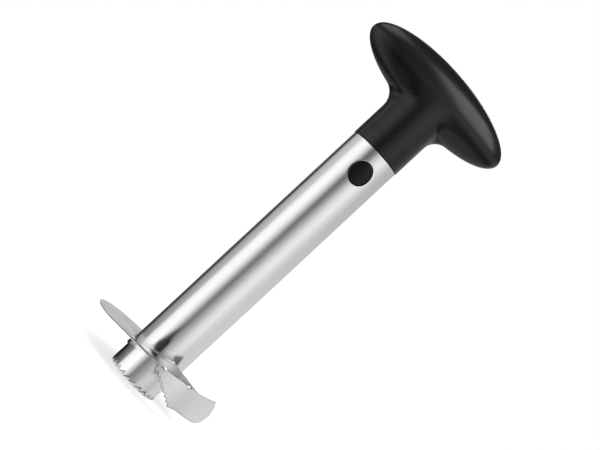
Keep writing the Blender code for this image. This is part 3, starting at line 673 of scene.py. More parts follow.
@dataclass
class CoreTube:
    """The thin steel tube, with ground saw teeth at its open end and two oval windows near its top."""

    finishes: Finishes
    radius: float = 16.0 * MM
    wall: float = 0.8 * MM
    length: float = 180.3 * MM
    end_round: float = 0.12 * MM
    plain_heights: tuple[float, ...] = (6 * MM, 30 * MM, 60 * MM, 90 * MM, 120 * MM, 148 * MM)
    teeth: int = 24
    tooth_depth: float = 1.5 * MM
    tooth_back: float = 0.8
    tooth_angle: float = 3.0
    back_columns: int = 8
    flank_columns: int = 4
    facet_height: float = 0.8 * MM
    facet_start: float = 0.55
    facet_growth: float = 0.9
    facet_least: float = 0.25
    facet_depth: float = 0.26 * MM
    facet_soft: float = 0.02 * MM
    facet_blend: tuple[float, ...] = (0.1 * MM, 0.25 * MM)
    bore_height: float = 1.0 * MM
    bore_soft: float = 0.04 * MM
    window_half_width: float = 6.5 * MM
    window_half_height: float = 7.3 * MM
    window_round: float = 0.14 * MM
    window_margin: float = 2.6 * MM
    window_teeth: int = 6
    window_rows: int = 14
    window_rings: int = 9

    @property
    def bore(self) -> float:
        """Radius of the inner wall."""
        return self.radius - self.wall

    def columns(self) -> tuple[Array, Array, Array]:
        """The columns round the tube: each tooth is a long back, then a steep flank to the next tip.

        Returns:
            Angle, lower edge and share of its tooth for each column.
        """
        back = np.linspace(0, self.tooth_back, self.back_columns, endpoint=False)
        flank = np.linspace(self.tooth_back, 1, self.flank_columns, endpoint=False)
        share = np.concatenate([back, flank])
        rise = np.minimum(share / self.tooth_back, (1 - share) / (1 - self.tooth_back))
        tooth = np.arange(self.teeth)[:, None] - self.teeth // 4
        angle = self.tooth_angle + (tooth + share) * 360 / self.teeth
        return angle.ravel(), np.tile(rise * self.tooth_depth, self.teeth), np.tile(share, self.teeth)

    def profile(self, low: Array, share: Array) -> tuple[list[Row], int, int]:
        """The wall's closed profile: up the outside from the ground facet, over the top and down the bore.

        Args:
            low: lower edge of each column.
            share: share of its tooth for each column.

        Returns:
            The rows, and the number of the windows' first row outside and inside.
        """
        ground = 1 - smooth_step((share - self.tooth_back) / (1 - self.tooth_back))
        rise = self.facet_start + self.facet_growth * np.minimum(share / self.tooth_back, 1)
        facet = self.facet_height * rise * np.maximum(ground, self.facet_least)
        block_low = BUTTON_HEIGHT - self.window_half_height - self.window_margin
        block_high = BUTTON_HEIGHT + self.window_half_height + self.window_margin
        block = np.linspace(block_low, block_high, self.window_rows + 1)
        heights = np.concatenate([self.plain_heights, block])
        top, soft = self.length, self.end_round
        rows = [(self.radius - self.facet_depth, low, 1.0)]
        rows += [(self.radius - self.facet_soft, low + facet, 1.0)]
        rows += [(self.radius, low + facet + above, 0.0) for above in self.facet_blend]
        outside = len(rows) + len(self.plain_heights)
        rows += [(self.radius, z, 0.0) for z in heights]
        rows += [(self.radius, top - soft, 0.0), (self.radius - soft, top, 0.0)]
        rows += [(self.bore + soft, top, 0.0), (self.bore, top - soft, 0.0)]
        inside = len(rows)
        rows += [(self.bore, z, 0.0) for z in heights[::-1]]
        rows += [(self.bore, low + self.bore_height, 0.0), (self.bore + self.bore_soft, low, 1.0)]
        return rows, outside, inside

    def facing(self, edge: Array, centre: float) -> Array:
        """The turn of the window's oval that faces each point round it: the arctangent over its half sizes.

        Args:
            edge: angle and height of each point.
            centre: the window's angle.

        Returns:
            A turn in radians for each point.
        """
        across = self.radius * np.sin(np.radians(edge[:, 0] - centre)) / self.window_half_width
        return np.arctan2((edge[:, 1] - BUTTON_HEIGHT) / self.window_half_height, across)

    def oval(self, turn: Array, centre: float, spread: float, radius: float) -> Array:
        """The window's oval on a wall of this radius: its angle is the arcsine of x over r.

        Args:
            turn: the oval's turns in radians.
            centre: the window's angle.
            spread: how far outside the window the oval runs.
            radius: the wall's radius.

        Returns:
            Angle and height of each point.
        """
        x = (self.window_half_width + spread) * np.cos(turn)
        z = BUTTON_HEIGHT + (self.window_half_height + spread) * np.sin(turn)
        return np.stack([centre + np.degrees(np.arcsin(x / radius)), z], axis=-1)

    def reveal(self, turn: Array, centre: float) -> Array:
        """The window's edge through the wall, rounded at both its mouths.

        Args:
            turn: the oval's turns in radians.
            centre: the window's angle.

        Returns:
            A grid of points, from the outside in.
        """
        soft = self.window_round
        steps = [(soft, 0.0), (0.3 * soft, 0.3 * soft), (0.0, soft)]
        steps += [(spread, self.wall - depth) for spread, depth in steps[::-1]]
        rings = []
        for spread, depth in steps:
            radius = self.radius - depth
            angle, height = self.oval(turn, centre, spread, radius).T
            rings.append(polar(radius, angle, height))
        return np.stack(rings)

    def build(self) -> None:
        """Builds the wall as a closed profile round the axis, with a ring of cells round each window."""
        angle, low, share = self.columns()
        rows, outside, inside = self.profile(low, share)
        points, marks = swept(rows, angle)
        per_tooth = len(angle) // self.teeth
        half = self.window_teeth // 2 * per_tooth
        tip = self.teeth // 4 * per_tooth
        openings, skin = [], Skin("core_tube_polished")
        for centre, middle in ((0.0, tip), (180.0, tip + len(angle) // 2)):
            for first, radius in ((outside, self.radius), (inside, self.bore)):
                block = (slice(first, first + self.window_rows), slice(middle - half, middle + half))
                openings.append(block)
                row, column = border(block)
                edge = np.stack([angle[column], points[row, column, 2]], axis=-1)
                turn = self.facing(edge, centre)
                oval = self.oval(turn, centre, self.window_round, radius)
                chart = between(edge, oval, np.linspace(0, 1, self.window_rings))
                skin.grid(polar(radius, chart[..., 0], chart[..., 1]), round_columns=True)
                if first == outside:
                    skin.grid(self.reveal(turn, centre), round_columns=True)
        skin.grid(points, round_rows=True, round_columns=True, ground=marks, leave_out=openings)
        settle(skin.build(sharp=28.0), self.finishes.tube, "core_tube")


# Slicing ring, rim blade and welds


@dataclass
class SlicingRing:
    """The ring sheet: flanged down round the tube, ground at its rim, and climbing across the front."""

    finishes: Finishes
    radius: float = 43.4 * MM
    thickness: float = 0.8 * MM
    height: float = 16.8 * MM
    slope: float = 0.09
    climb_angle: float = -80.0
    climb_ease: float = 20.0
    first_angle: float = BLADE_START + math.degrees(59.1 / 43.4) - 360
    last_angle: float = 28.0
    blade_end: float = BLADE_START + math.degrees(61.0 / 43.4) - 360
    bevel_width: float = 1.8 * MM
    bevel_share: float = 0.55
    beside_inset: float = 1.1 * MM
    beside_width: float = 0.3 * MM
    beside_drop: float = 0.04 * MM
    blend_width: float = 0.1 * MM
    blend_drop: float = 0.01 * MM
    edge_round: float = 0.05 * MM
    ground_angle: float = 5.0
    edge_share: float = 0.25
    bore: float = 16.3 * MM
    hub_depth: float = 4.6 * MM
    hub_wall: float = 0.8 * MM
    hub_trailing: float = 0.3
    bend: float = 0.9 * MM
    least_bend: float = 0.25 * MM
    under_bend: float = 0.5 * MM
    under_chamfer: float = 0.15 * MM
    even_columns: int = 321

    def level(self, angle: Number) -> Array:
        """Height of the underside: flat, then a parabola over the ease angle, then an even rise.

        Args:
            angle: the places round the ring.

        Returns:
            One height for each place.
        """
        past = np.radians(np.maximum(np.asarray(angle, float) - self.climb_angle, 0))
        ease = math.radians(self.climb_ease)
        run = np.where(past < ease, past * past / (2 * ease), past - ease / 2)
        return self.height + self.slope * self.radius * run

    def columns(self) -> tuple[Array, Array]:
        """The columns round the ring: even, with a pair at each end of the blade.

        Returns:
            The angle of each, and whether the rim passes inside the blade there.
        """
        gap = math.degrees(SEAT_GAP / self.radius)
        notches = [self.blade_end + gap, BLADE_START - gap]
        even = np.linspace(self.first_angle, self.last_angle, self.even_columns)
        steps = [end + side * gap / 2 for end in notches for side in (-1, 1)]
        angle = np.sort(np.concatenate([even, steps]))
        return angle, (angle < notches[0]) | (angle > notches[1])

    def profile(self, angle: Array, beside: Array) -> list[Row]:
        """The sheet's closed profile: over the bend, out to the rim, back underneath and down the hub.

        Args:
            angle: the angle of each column.
            beside: whether the rim passes inside the blade there.

        Returns:
            Radius, height and ground mark of each row.
        """
        edge = np.where(beside, self.radius - self.beside_inset, self.radius)
        share = self.edge_share + (1 - self.edge_share) * (angle - self.first_angle) / self.ground_angle
        thin = self.thickness * np.minimum(1.0, share)
        honed = (angle - self.first_angle < self.ground_angle).astype(float)
        bottom = self.level(angle)
        top = bottom + thin
        width = np.where(beside, self.beside_width, self.bevel_width)
        drop = np.where(beside, self.beside_drop, thin * self.bevel_share)
        climbed = np.maximum(angle - self.climb_angle, 0) / (self.last_angle - self.climb_angle)
        hub = bottom - self.hub_depth * (1 - (1 - self.hub_trailing) * climbed)
        bend = np.minimum(self.bend, np.maximum(thin, self.least_bend))
        inner, soft, chamfer = self.bore + self.hub_wall, self.edge_round, self.under_chamfer
        turns = np.radians([0, 22.5, 45, 67.5, 90])
        rows = [(self.bore + bend * (1 - math.cos(t)), top - bend * (1 - math.sin(t)), honed) for t in turns]
        rows += [(edge - width - self.blend_width, top, honed), (edge - width, top - self.blend_drop, 1.0)]
        rows += [(edge - soft, top - drop, 1.0), (edge, top - drop - soft, 1.0)]
        rows += [(edge, bottom + soft, 1.0), (edge - soft, bottom, 0.0)]
        rows += [(inner + self.under_bend, bottom, 0.0), (inner + chamfer, bottom - chamfer, honed)]
        rows += [(inner, bottom - self.under_bend, honed), (inner, hub + soft, honed)]
        rows += [(inner - soft, hub, honed), (self.bore + soft, hub, honed), (self.bore, hub + soft, honed)]
        return rows

    def build(self) -> None:
        """Builds the ring as its profile carried round from the leading end to the trailing end."""
        angle, beside = self.columns()
        points, marks = swept(self.profile(angle, beside), angle)
        skin = Skin("slicing_ring_satin")
        skin.grid(points, round_rows=True, ground=marks)
        for column in (0, -1):
            skin.cap(points[:, column], 1.0)
        settle(skin.build(sharp=30.0), self.finishes.ring, "slicing_ring")


@dataclass
class RimBlade:
    """The upright blade bent to the ring's radius, with a serrated slanted edge and a round end."""

    finishes: Finishes
    ring: SlicingRing
    thickness: float = 0.8 * MM
    lip: float = 0.4 * MM
    top_slope: float = 0.107
    corner_arc: float = 49.4 * MM
    end_arc: float = 61.0 * MM
    end_height: float = 16.5 * MM
    end_radius: float = 26.0 * MM
    start_depth: float = 0.8 * MM
    tip_arc: float = 24.0 * MM
    tip_height: float = 8.5 * MM
    heel_height: float = 1.6 * MM
    heel_length: float = 3.0 * MM
    heel_arc: float = 46.0 * MM
    teeth: int = 9
    tooth_run: float = 0.6
    run_columns: int = 6
    fall_columns: int = 5
    plain_columns: int = 72
    end_columns: int = 30
    hook: float = 0.5 * MM
    bevel_height: float = 0.4 * MM
    start_bevel: float = 1.6 * MM
    start_bevel_arc: float = 7.5 * MM
    start_bevel_fade: float = 4 * MM
    start_thinning: float = 0.5
    most_bevel: float = 0.6
    bevel_soft: float = 0.02 * MM
    bevel_blend: tuple[tuple[float, float], ...] = ((0.1 * MM, 0.05), (0.25 * MM, 0.12))
    top_blend: tuple[float, float] = (0.15 * MM, 0.05)
    notch_depth: float = 1.6 * MM
    notch_half: float = 2.3 * MM
    edge_thickness: float = 0.5 * MM
    edge_round: float = 0.06 * MM
    least_height: float = 0.02 * MM

    def start_height(self) -> float:
        """Height of the upper edge where the blade begins, a lip above the ring's underside."""
        return float(self.ring.level(BLADE_START)) + self.lip

    def top(self, arc: Array) -> Array:
        """Height of the upper edge: an even climb, then a circle through the corner and the blade's end.

        Args:
            arc: the places along the blade.

        Returns:
            One height for each place.
        """
        start = self.start_height()
        corner = (self.corner_arc, start + self.top_slope * self.corner_arc)
        across, down = self.end_arc - corner[0], corner[1] - self.end_height
        chord = math.hypot(across, down)
        reach = math.sqrt(self.end_radius**2 - chord**2 / 4)
        centre = (
            (corner[0] + self.end_arc) / 2 - reach * down / chord,
            (corner[1] + self.end_height) / 2 - reach * across / chord,
        )
        round_end = centre[1] + np.sqrt(np.maximum(self.end_radius**2 - (arc - centre[0]) ** 2, 0))
        return np.where(arc <= self.corner_arc, start + self.top_slope * arc, round_end)

    def serration(self) -> tuple[Array, Array]:
        """The teeth: each rises along a quarter sine, then falls to the next tip, on a slanted line.

        Returns:
            Arc length and lower edge of each column.
        """
        start = self.start_height() - self.start_depth
        slant = (self.tip_height - start) / self.tip_arc
        pitch = self.tip_arc / self.teeth
        tips = np.arange(self.teeth) * pitch
        run = np.linspace(0, self.tooth_run, self.run_columns)
        rise = self.hook * np.sin(run / self.tooth_run * math.pi / 2)
        fall = np.linspace(self.tooth_run, 1, self.fall_columns)[1:-1]
        reach = (fall - self.tooth_run) / (1 - self.tooth_run)
        share = np.concatenate([run, fall])
        near = np.concatenate([rise, self.hook * (1 - reach) + slant * pitch * reach])
        return (tips[:, None] + share * pitch).ravel(), (start + slant * tips[:, None] + near).ravel()

    def columns(self) -> tuple[Array, Array]:
        """The columns along the blade: the teeth, then the plain edge.

        The plain edge eases up to the heel's height by 1 less e to the minus distance over the heel's
        length, and ends as a quarter of an ellipse.

        Returns:
            Arc length and lower edge of each column.
        """
        arc, bottom = self.serration()
        back = np.linspace(self.tip_arc, self.corner_arc, self.plain_columns)
        turn = np.linspace(0, math.pi / 2, self.end_columns)[1:]
        rest = np.concatenate([back, self.corner_arc + (self.end_arc - self.corner_arc) * np.sin(turn)])
        heel = self.tip_height + self.heel_height * (1 - np.exp((self.tip_arc - rest) / self.heel_length))
        past = np.maximum(rest - self.heel_arc, 0) / (self.end_arc - self.heel_arc)
        plain = self.end_height - (self.end_height - heel) * np.sqrt(np.maximum(1 - past * past, 0))
        return np.concatenate([arc, rest]), np.concatenate([bottom, plain])

    def profile(self, arc: Array, angle: Array, bottom: Array) -> list[Row]:
        """The closed profile: out along the ground lower edge, up the outer face and down the inner one.

        Args:
            arc: the arc length of each column.
            angle: its angle.
            bottom: its lower edge.

        Returns:
            Radius, height and ground mark of each row.
        """
        away = [np.abs(angle - at) * self.ring.radius * math.pi / 180 for at in WELD_ANGLES]
        dip = sum(1 - smooth_step(distance / self.notch_half) for distance in away)
        top = np.maximum(self.top(arc) - self.notch_depth * dip, bottom + self.least_height)
        tall = top - bottom
        outside, inside = self.ring.radius, self.ring.radius - self.thickness
        soft = np.minimum(self.edge_round, tall / 4)
        near_start = smooth_step((self.start_bevel_arc - arc) / self.start_bevel_fade)
        bevel = self.bevel_height + (self.start_bevel - self.bevel_height) * near_start
        bevel = np.minimum(bevel, tall * self.most_bevel)
        edge = inside + self.edge_thickness * (1 - self.start_thinning * near_start)
        rows = [(inside, bottom, 1.0), (edge, bottom, 1.0), (outside - self.bevel_soft, bottom + bevel, 1.0)]
        for most, share in self.bevel_blend:
            rows.append((outside, bottom + bevel + np.minimum(most, tall * share), 0.0))
        most, share = self.top_blend
        rows.append((outside, top - soft - np.minimum(most, tall * share), 0.0))
        rows += [(outside, top - soft, 0.0), (outside - soft, top, 0.0)]
        rows += [(inside + soft, top, 1.0), (inside, top - soft, 1.0)]
        return rows

    def build(self) -> None:
        """Builds the blade as its ground profile carried along the arc."""
        arc, bottom = self.columns()
        angle = BLADE_START + np.degrees(arc / self.ring.radius)
        points, marks = swept(self.profile(arc, angle, bottom), angle)
        skin = Skin("rim_blade_ground")
        skin.grid(points, round_rows=True, ground=marks)
        skin.cap(points[:, 0])
        settle(skin.build(sharp=30.0), self.finishes.blade, "rim_blade")


@dataclass
class WeldBeads:
    """The tack welds over the joint of ring and blade, and the short welds under the ring's hub."""

    finishes: Finishes
    ring: SlicingRing
    tack_half: tuple[float, float, float] = (2.7 * MM, 0.88 * MM, 1.45 * MM)
    tack_sink: float = 0.75 * MM
    tack_inset: float = 0.01 * MM
    lead_half: tuple[float, float, float] = (2.6 * MM, 1.0 * MM, 0.8 * MM)
    lead_arc: float = 0.75 * 5.6 * MM
    hub_half: tuple[float, float, float] = (2.5 * MM, 0.6 * MM, 1.35 * MM)
    hub_welds: int = 3
    lift: float = 0.3
    norm: float = 1.7
    long_lumps: tuple[float, float] = (0.06, 1.3)
    short_lumps: tuple[float, float] = (0.02, 0.5)
    around: int = 48
    rows: int = 13
    hub_seed: int = 11

    def bead(
        self,
        kind: str,
        number: int,
        half: tuple[float, float, float],
        place: Matrix,
        seed: int,
        full: bool = False,
    ) -> None:
        """A lumpy bead: a ball in a norm between a diamond and a sphere, its radius stirred by lumps.

        Args:
            kind: what it is a weld of.
            number: its number.
            half: half length, half width and height.
            place: where its middle goes.
            seed: picks the lumps.
            full: whether its lower half is round too, and not a flat face.
        """
        turn = whole_turn(self.around)
        bottom, rows = (-math.pi / 2, 2 * self.rows - 1) if full else (0, self.rows)
        rise = np.linspace(bottom, math.pi / 2, rows)[:, None]
        unit = points_of(np.cos(turn) * np.cos(rise), np.sin(turn) * np.cos(rise), np.sin(rise))
        unit = unit / (np.abs(unit) ** self.norm).sum(axis=-1, keepdims=True) ** (1 / self.norm)
        (much, long), (little, short) = self.long_lumps, self.short_lumps
        stir = 1 - much * (1 + lumps(unit, long, seed)) + little * lumps(unit, short, seed + 7)
        points = placed(unit * stir[..., None] * np.array(half), place)
        skin = Skin(f"{kind}_bead_{number}")
        skin.grid(points, round_columns=True)
        if not full:
            skin.cap(points[0])
        settle(skin.build(sharp=60.0), self.finishes.weld, f"{kind}_weld_{number}")

    def seat(self, radius: float, angle: float, height: float) -> Matrix:
        """A place at this radius, angle and height, turned so that X runs along the ring."""
        turn = Matrix.Rotation(math.radians(angle), 4, "Z")
        return Matrix.Translation(Vector(polar(radius, angle, height))) @ turn

    def build(self) -> None:
        """Builds all six beads."""
        ring = self.ring
        for number, angle in enumerate(WELD_ANGLES, 2):
            height = float(ring.level(angle)) + ring.thickness - self.tack_sink
            place = self.seat(ring.radius - self.tack_half[1] - self.tack_inset, angle, height)
            place = place @ Matrix.Rotation(-math.atan(ring.slope), 4, "Y")
            self.bead("tack", number, self.tack_half, place, number, full=True)
        lead = ring.first_angle + math.degrees(self.lead_arc / ring.radius)
        radius = ring.radius - ring.beside_inset - self.lead_half[1]
        place = self.seat(radius, lead, ring.height + ring.thickness + SEAT_GAP * self.lift)
        self.bead("tack", 1, self.lead_half, place, 1)
        for number in range(self.hub_welds):
            angle = ring.first_angle + (ring.climb_angle - ring.first_angle) * (number + 0.5) / self.hub_welds
            height = ring.height - ring.hub_depth - SEAT_GAP * self.lift
            place = self.seat(ring.bore + self.hub_half[1], angle, height) @ Matrix.Rotation(math.pi, 4, "X")
            self.bead("hub", number + 1, self.hub_half, place, self.hub_seed + number)


# Handle


@dataclass
class HandleForm:
    """The outer form of the T-handle: a round stem that flares through a fillet into an oval bar."""

    stem: float = 16.3 * MM
    length: float = 52.0 * MM
    depth: float = 15.9 * MM
    crown: float = 17.2 * MM
    belly: float = 16.8 * MM
    fillet: float = 10.5 * MM
    bottom: float = 180.6 * MM
    centre: float = 226.5 * MM
    power: float = 6.0
    fade: float = 0.4
    collar: tuple[float, ...] = (0.0, 0.06 * MM, 0.18 * MM, 0.4 * MM, 4.0 * MM, 10.0 * MM)
    collar_round: float = 0.25 * MM
    crown_turn: float = 89.2

    def shrunk(self, inset: float) -> "HandleForm":
        """The same form set in, for the inside of the wall.

        Args:
            inset: how far it is set in.

        Returns:
            The smaller form, whose stem fades over the same height.
        """
        less = {name: getattr(self, name) - inset for name in ("stem", "length", "depth", "crown", "belly")}
        fade = self.fade * self.crown / (self.crown - inset)
        return replace(self, fillet=self.fillet + inset, fade=fade, **less)

    def meeting(self) -> tuple[float, float, float]:
        """Where the fillet touches the bar's lower ellipse, found by halving.

        Returns:
            The ellipse's turn, the height of the fillet's centre, and the fillet's turn.
        """
        low, high = 0.0, math.pi / 2
        x = z = meet = 0.0
        for _ in range(60):
            middle = (low + high) / 2
            across, down = math.cos(middle) / self.length, math.sin(middle) / self.belly
            size = math.hypot(across, down)
            x = self.length * math.cos(middle) + self.fillet * across / size
            z = self.centre - self.belly * math.sin(middle) - self.fillet * down / size
            meet = math.atan2(down, across)
            low, high = (middle, high) if x > self.stem + self.fillet else (low, middle)
        return low, z, meet

    def levels(self, fillet_rows: int = 22, belly_rows: int = 22, crown_rows: int = 30) -> tuple[Array, ...]:
        """The rows of the form, from the collar over the fillet and the belly to the crown.

        Args:
            fillet_rows: how many rows the fillet has.
            belly_rows: how many rows lie between the fillet and the bar's middle.
            crown_rows: how many rows lie above it.

        Returns:
            Half width, half depth, height and stem share of each row.
        """
        low, fillet_z, meet = self.meeting()
        turn = meet * np.linspace(0, 1, fillet_rows, endpoint=False)
        below = low * (1 - np.linspace(0, 1, belly_rows, endpoint=False))
        above = np.radians(self.crown_turn) * np.linspace(0, 1, crown_rows)
        collar = np.array(self.collar)
        width = np.concatenate([
            self.stem - quarter_round(collar, self.collar_round),
            self.stem + self.fillet * (1 - np.cos(turn)),
            self.length * np.cos(below),
            self.length * np.cos(above),
        ])
        z = np.concatenate([
            self.bottom + collar,
            fillet_z + self.fillet * np.sin(turn),
            self.centre - self.belly * np.sin(below),
            self.centre + self.crown * np.sin(above),
        ])
        depth = self.stem + (self.depth - self.stem) * smooth_step((z - fillet_z) / (self.centre - fillet_z))
        depth[-crown_rows:] = self.depth * np.cos(above)
        depth[: len(collar)] = width[: len(collar)]
        reach = self.fade * self.crown
        return width, depth, z, smooth_step((self.centre + reach - z) / (2 * reach))

    def surface(self, levels: tuple[Array, ...], even: Array, side: float) -> Array:
        """Half of each level section: the sixth powers of the stem's circle and the bar's oval, added.

        Args:
            levels: half width, half depth, height and stem share of each row.
            even: turns from 0 to pi, the columns.
            side: -1 for the front, 1 for the back.

        Returns:
            A grid of points.
        """
        width, depth, z, share = (part[:, None] for part in levels)
        round_part = self.stem * share
        wing = np.maximum(width**self.power - round_part**self.power, 1e-30) ** (1 / self.power)
        wing_depth = self.depth * wing / self.length

        def joined(turn: Number) -> Array:
            """Radius of the joined section at a turn."""
            oval_part = 1 / np.hypot(np.cos(turn) / wing, np.sin(turn) / wing_depth)
            return (round_part**self.power + oval_part**self.power) ** (1 / self.power)

        turn = np.arctan2(depth * np.sin(even), width * np.cos(even))
        deep = depth / joined(math.pi / 2)
        radius = joined(turn) * (np.cos(turn) ** 2 + deep * np.sin(turn) ** 2)
        y = SEAT_GAP / 2 + radius * np.sin(turn) * (1 - SEAT_GAP / 2 / np.maximum(depth, SEAT_GAP))
        return points_of(radius * np.cos(turn), side * y, z)

    def depth_at(self, x: Array, z: Array) -> Array:
        """Distance of the surface from the parting plane, read between the points of its section.

        Args:
            x: the places along the bar, as one row of numbers.
            z: their heights.

        Returns:
            One distance for each place.
        """
        fine = 700
        width, depth, height, share = self.levels(300, 300, 400)
        at = tuple(np.interp(z, height, part) for part in (width, depth, height, share))
        section = self.surface(at, np.linspace(0, math.pi, fine), 1.0)
        number = np.clip((section[..., 0] > x[:, None]).sum(axis=1), 1, fine - 1)
        pick = np.arange(len(x))
        before, after = section[pick, number - 1], section[pick, number]
        share_past = (before[:, 0] - x) / np.maximum(before[:, 0] - after[:, 0], 1e-9)
        return before[:, 1] + (after[:, 1] - before[:, 1]) * share_past


@dataclass
class PanScrew:
    """A pan-head screw with a cross recess: its head stands on Z = 0 and its shank points down."""

    name: str
    radius: float
    length: float
    head_radius: float
    head_height: float
    recess_half: float = 0.36 * MM
    recess_reach: float = 0.62
    recess_depth: float = 0.55
    recess_soft: float = 0.12 * MM
    recess_end_soft: float = 0.2 * MM
    rim_share: float = 0.45
    dome_power: float = 2.6
    pitch: float = 0.9 * MM
    root_share: float = 0.78
    tip_length: float = 1.5
    tip_share: float = 0.25
    around: int = 96
    head_rings: int = 30
    shank_rings: int = 120

    def head(self, turn: Array) -> Array:
        """The head's top, pressed down along a cross. Its dome is the root of 1 less a power of the radius.

        Args:
            turn: the columns' turns.

        Returns:
            A grid of points, from the middle out.
        """
        share = np.linspace(0, 1, self.head_rings)[:, None]
        x, y = share * np.cos(turn) * self.head_radius, share * np.sin(turn) * self.head_radius
        swell = (1 - self.rim_share) * np.sqrt(np.maximum(1 - share**self.dome_power, 0))
        dome = self.head_height * (self.rim_share + swell)
        reach = self.recess_reach * self.head_radius
        near = np.minimum(np.abs(x), np.abs(y))
        far = np.maximum(np.abs(x), np.abs(y))
        slot = smooth_step((self.recess_half - near) / self.recess_soft + 0.5)
        slot = slot * smooth_step((reach - far) / self.recess_end_soft + 0.5)
        return points_of(x, y, dome - slot * self.recess_depth * self.head_height)

    def make(self, place: Matrix) -> Piece:
        """Builds the head, its side, and a shank whose ridge is a cosine of the turn less height over pitch.

        Args:
            place: where it goes.

        Returns:
            The object.
        """
        turn = whole_turn(self.around)
        side = np.stack([turned(radius, turn, 0.0) for radius in (self.head_radius, self.radius)])
        z = np.linspace(0, -self.length, self.shank_rings)[:, None]
        taper = np.clip((self.length + z) / (self.radius * self.tip_length), self.tip_share, 1)
        ridge = 0.5 + 0.5 * np.cos(turn - z / self.pitch * 2 * math.pi)
        radius = self.radius * taper * (self.root_share + (1 - self.root_share) * ridge**3)
        points = placed(np.concatenate([self.head(turn), side, turned(radius, turn, z)]), place)
        skin = Skin(self.name)
        skin.grid(points, round_columns=True)
        skin.cap(points[-1])
        return skin.build(sharp=40.0)


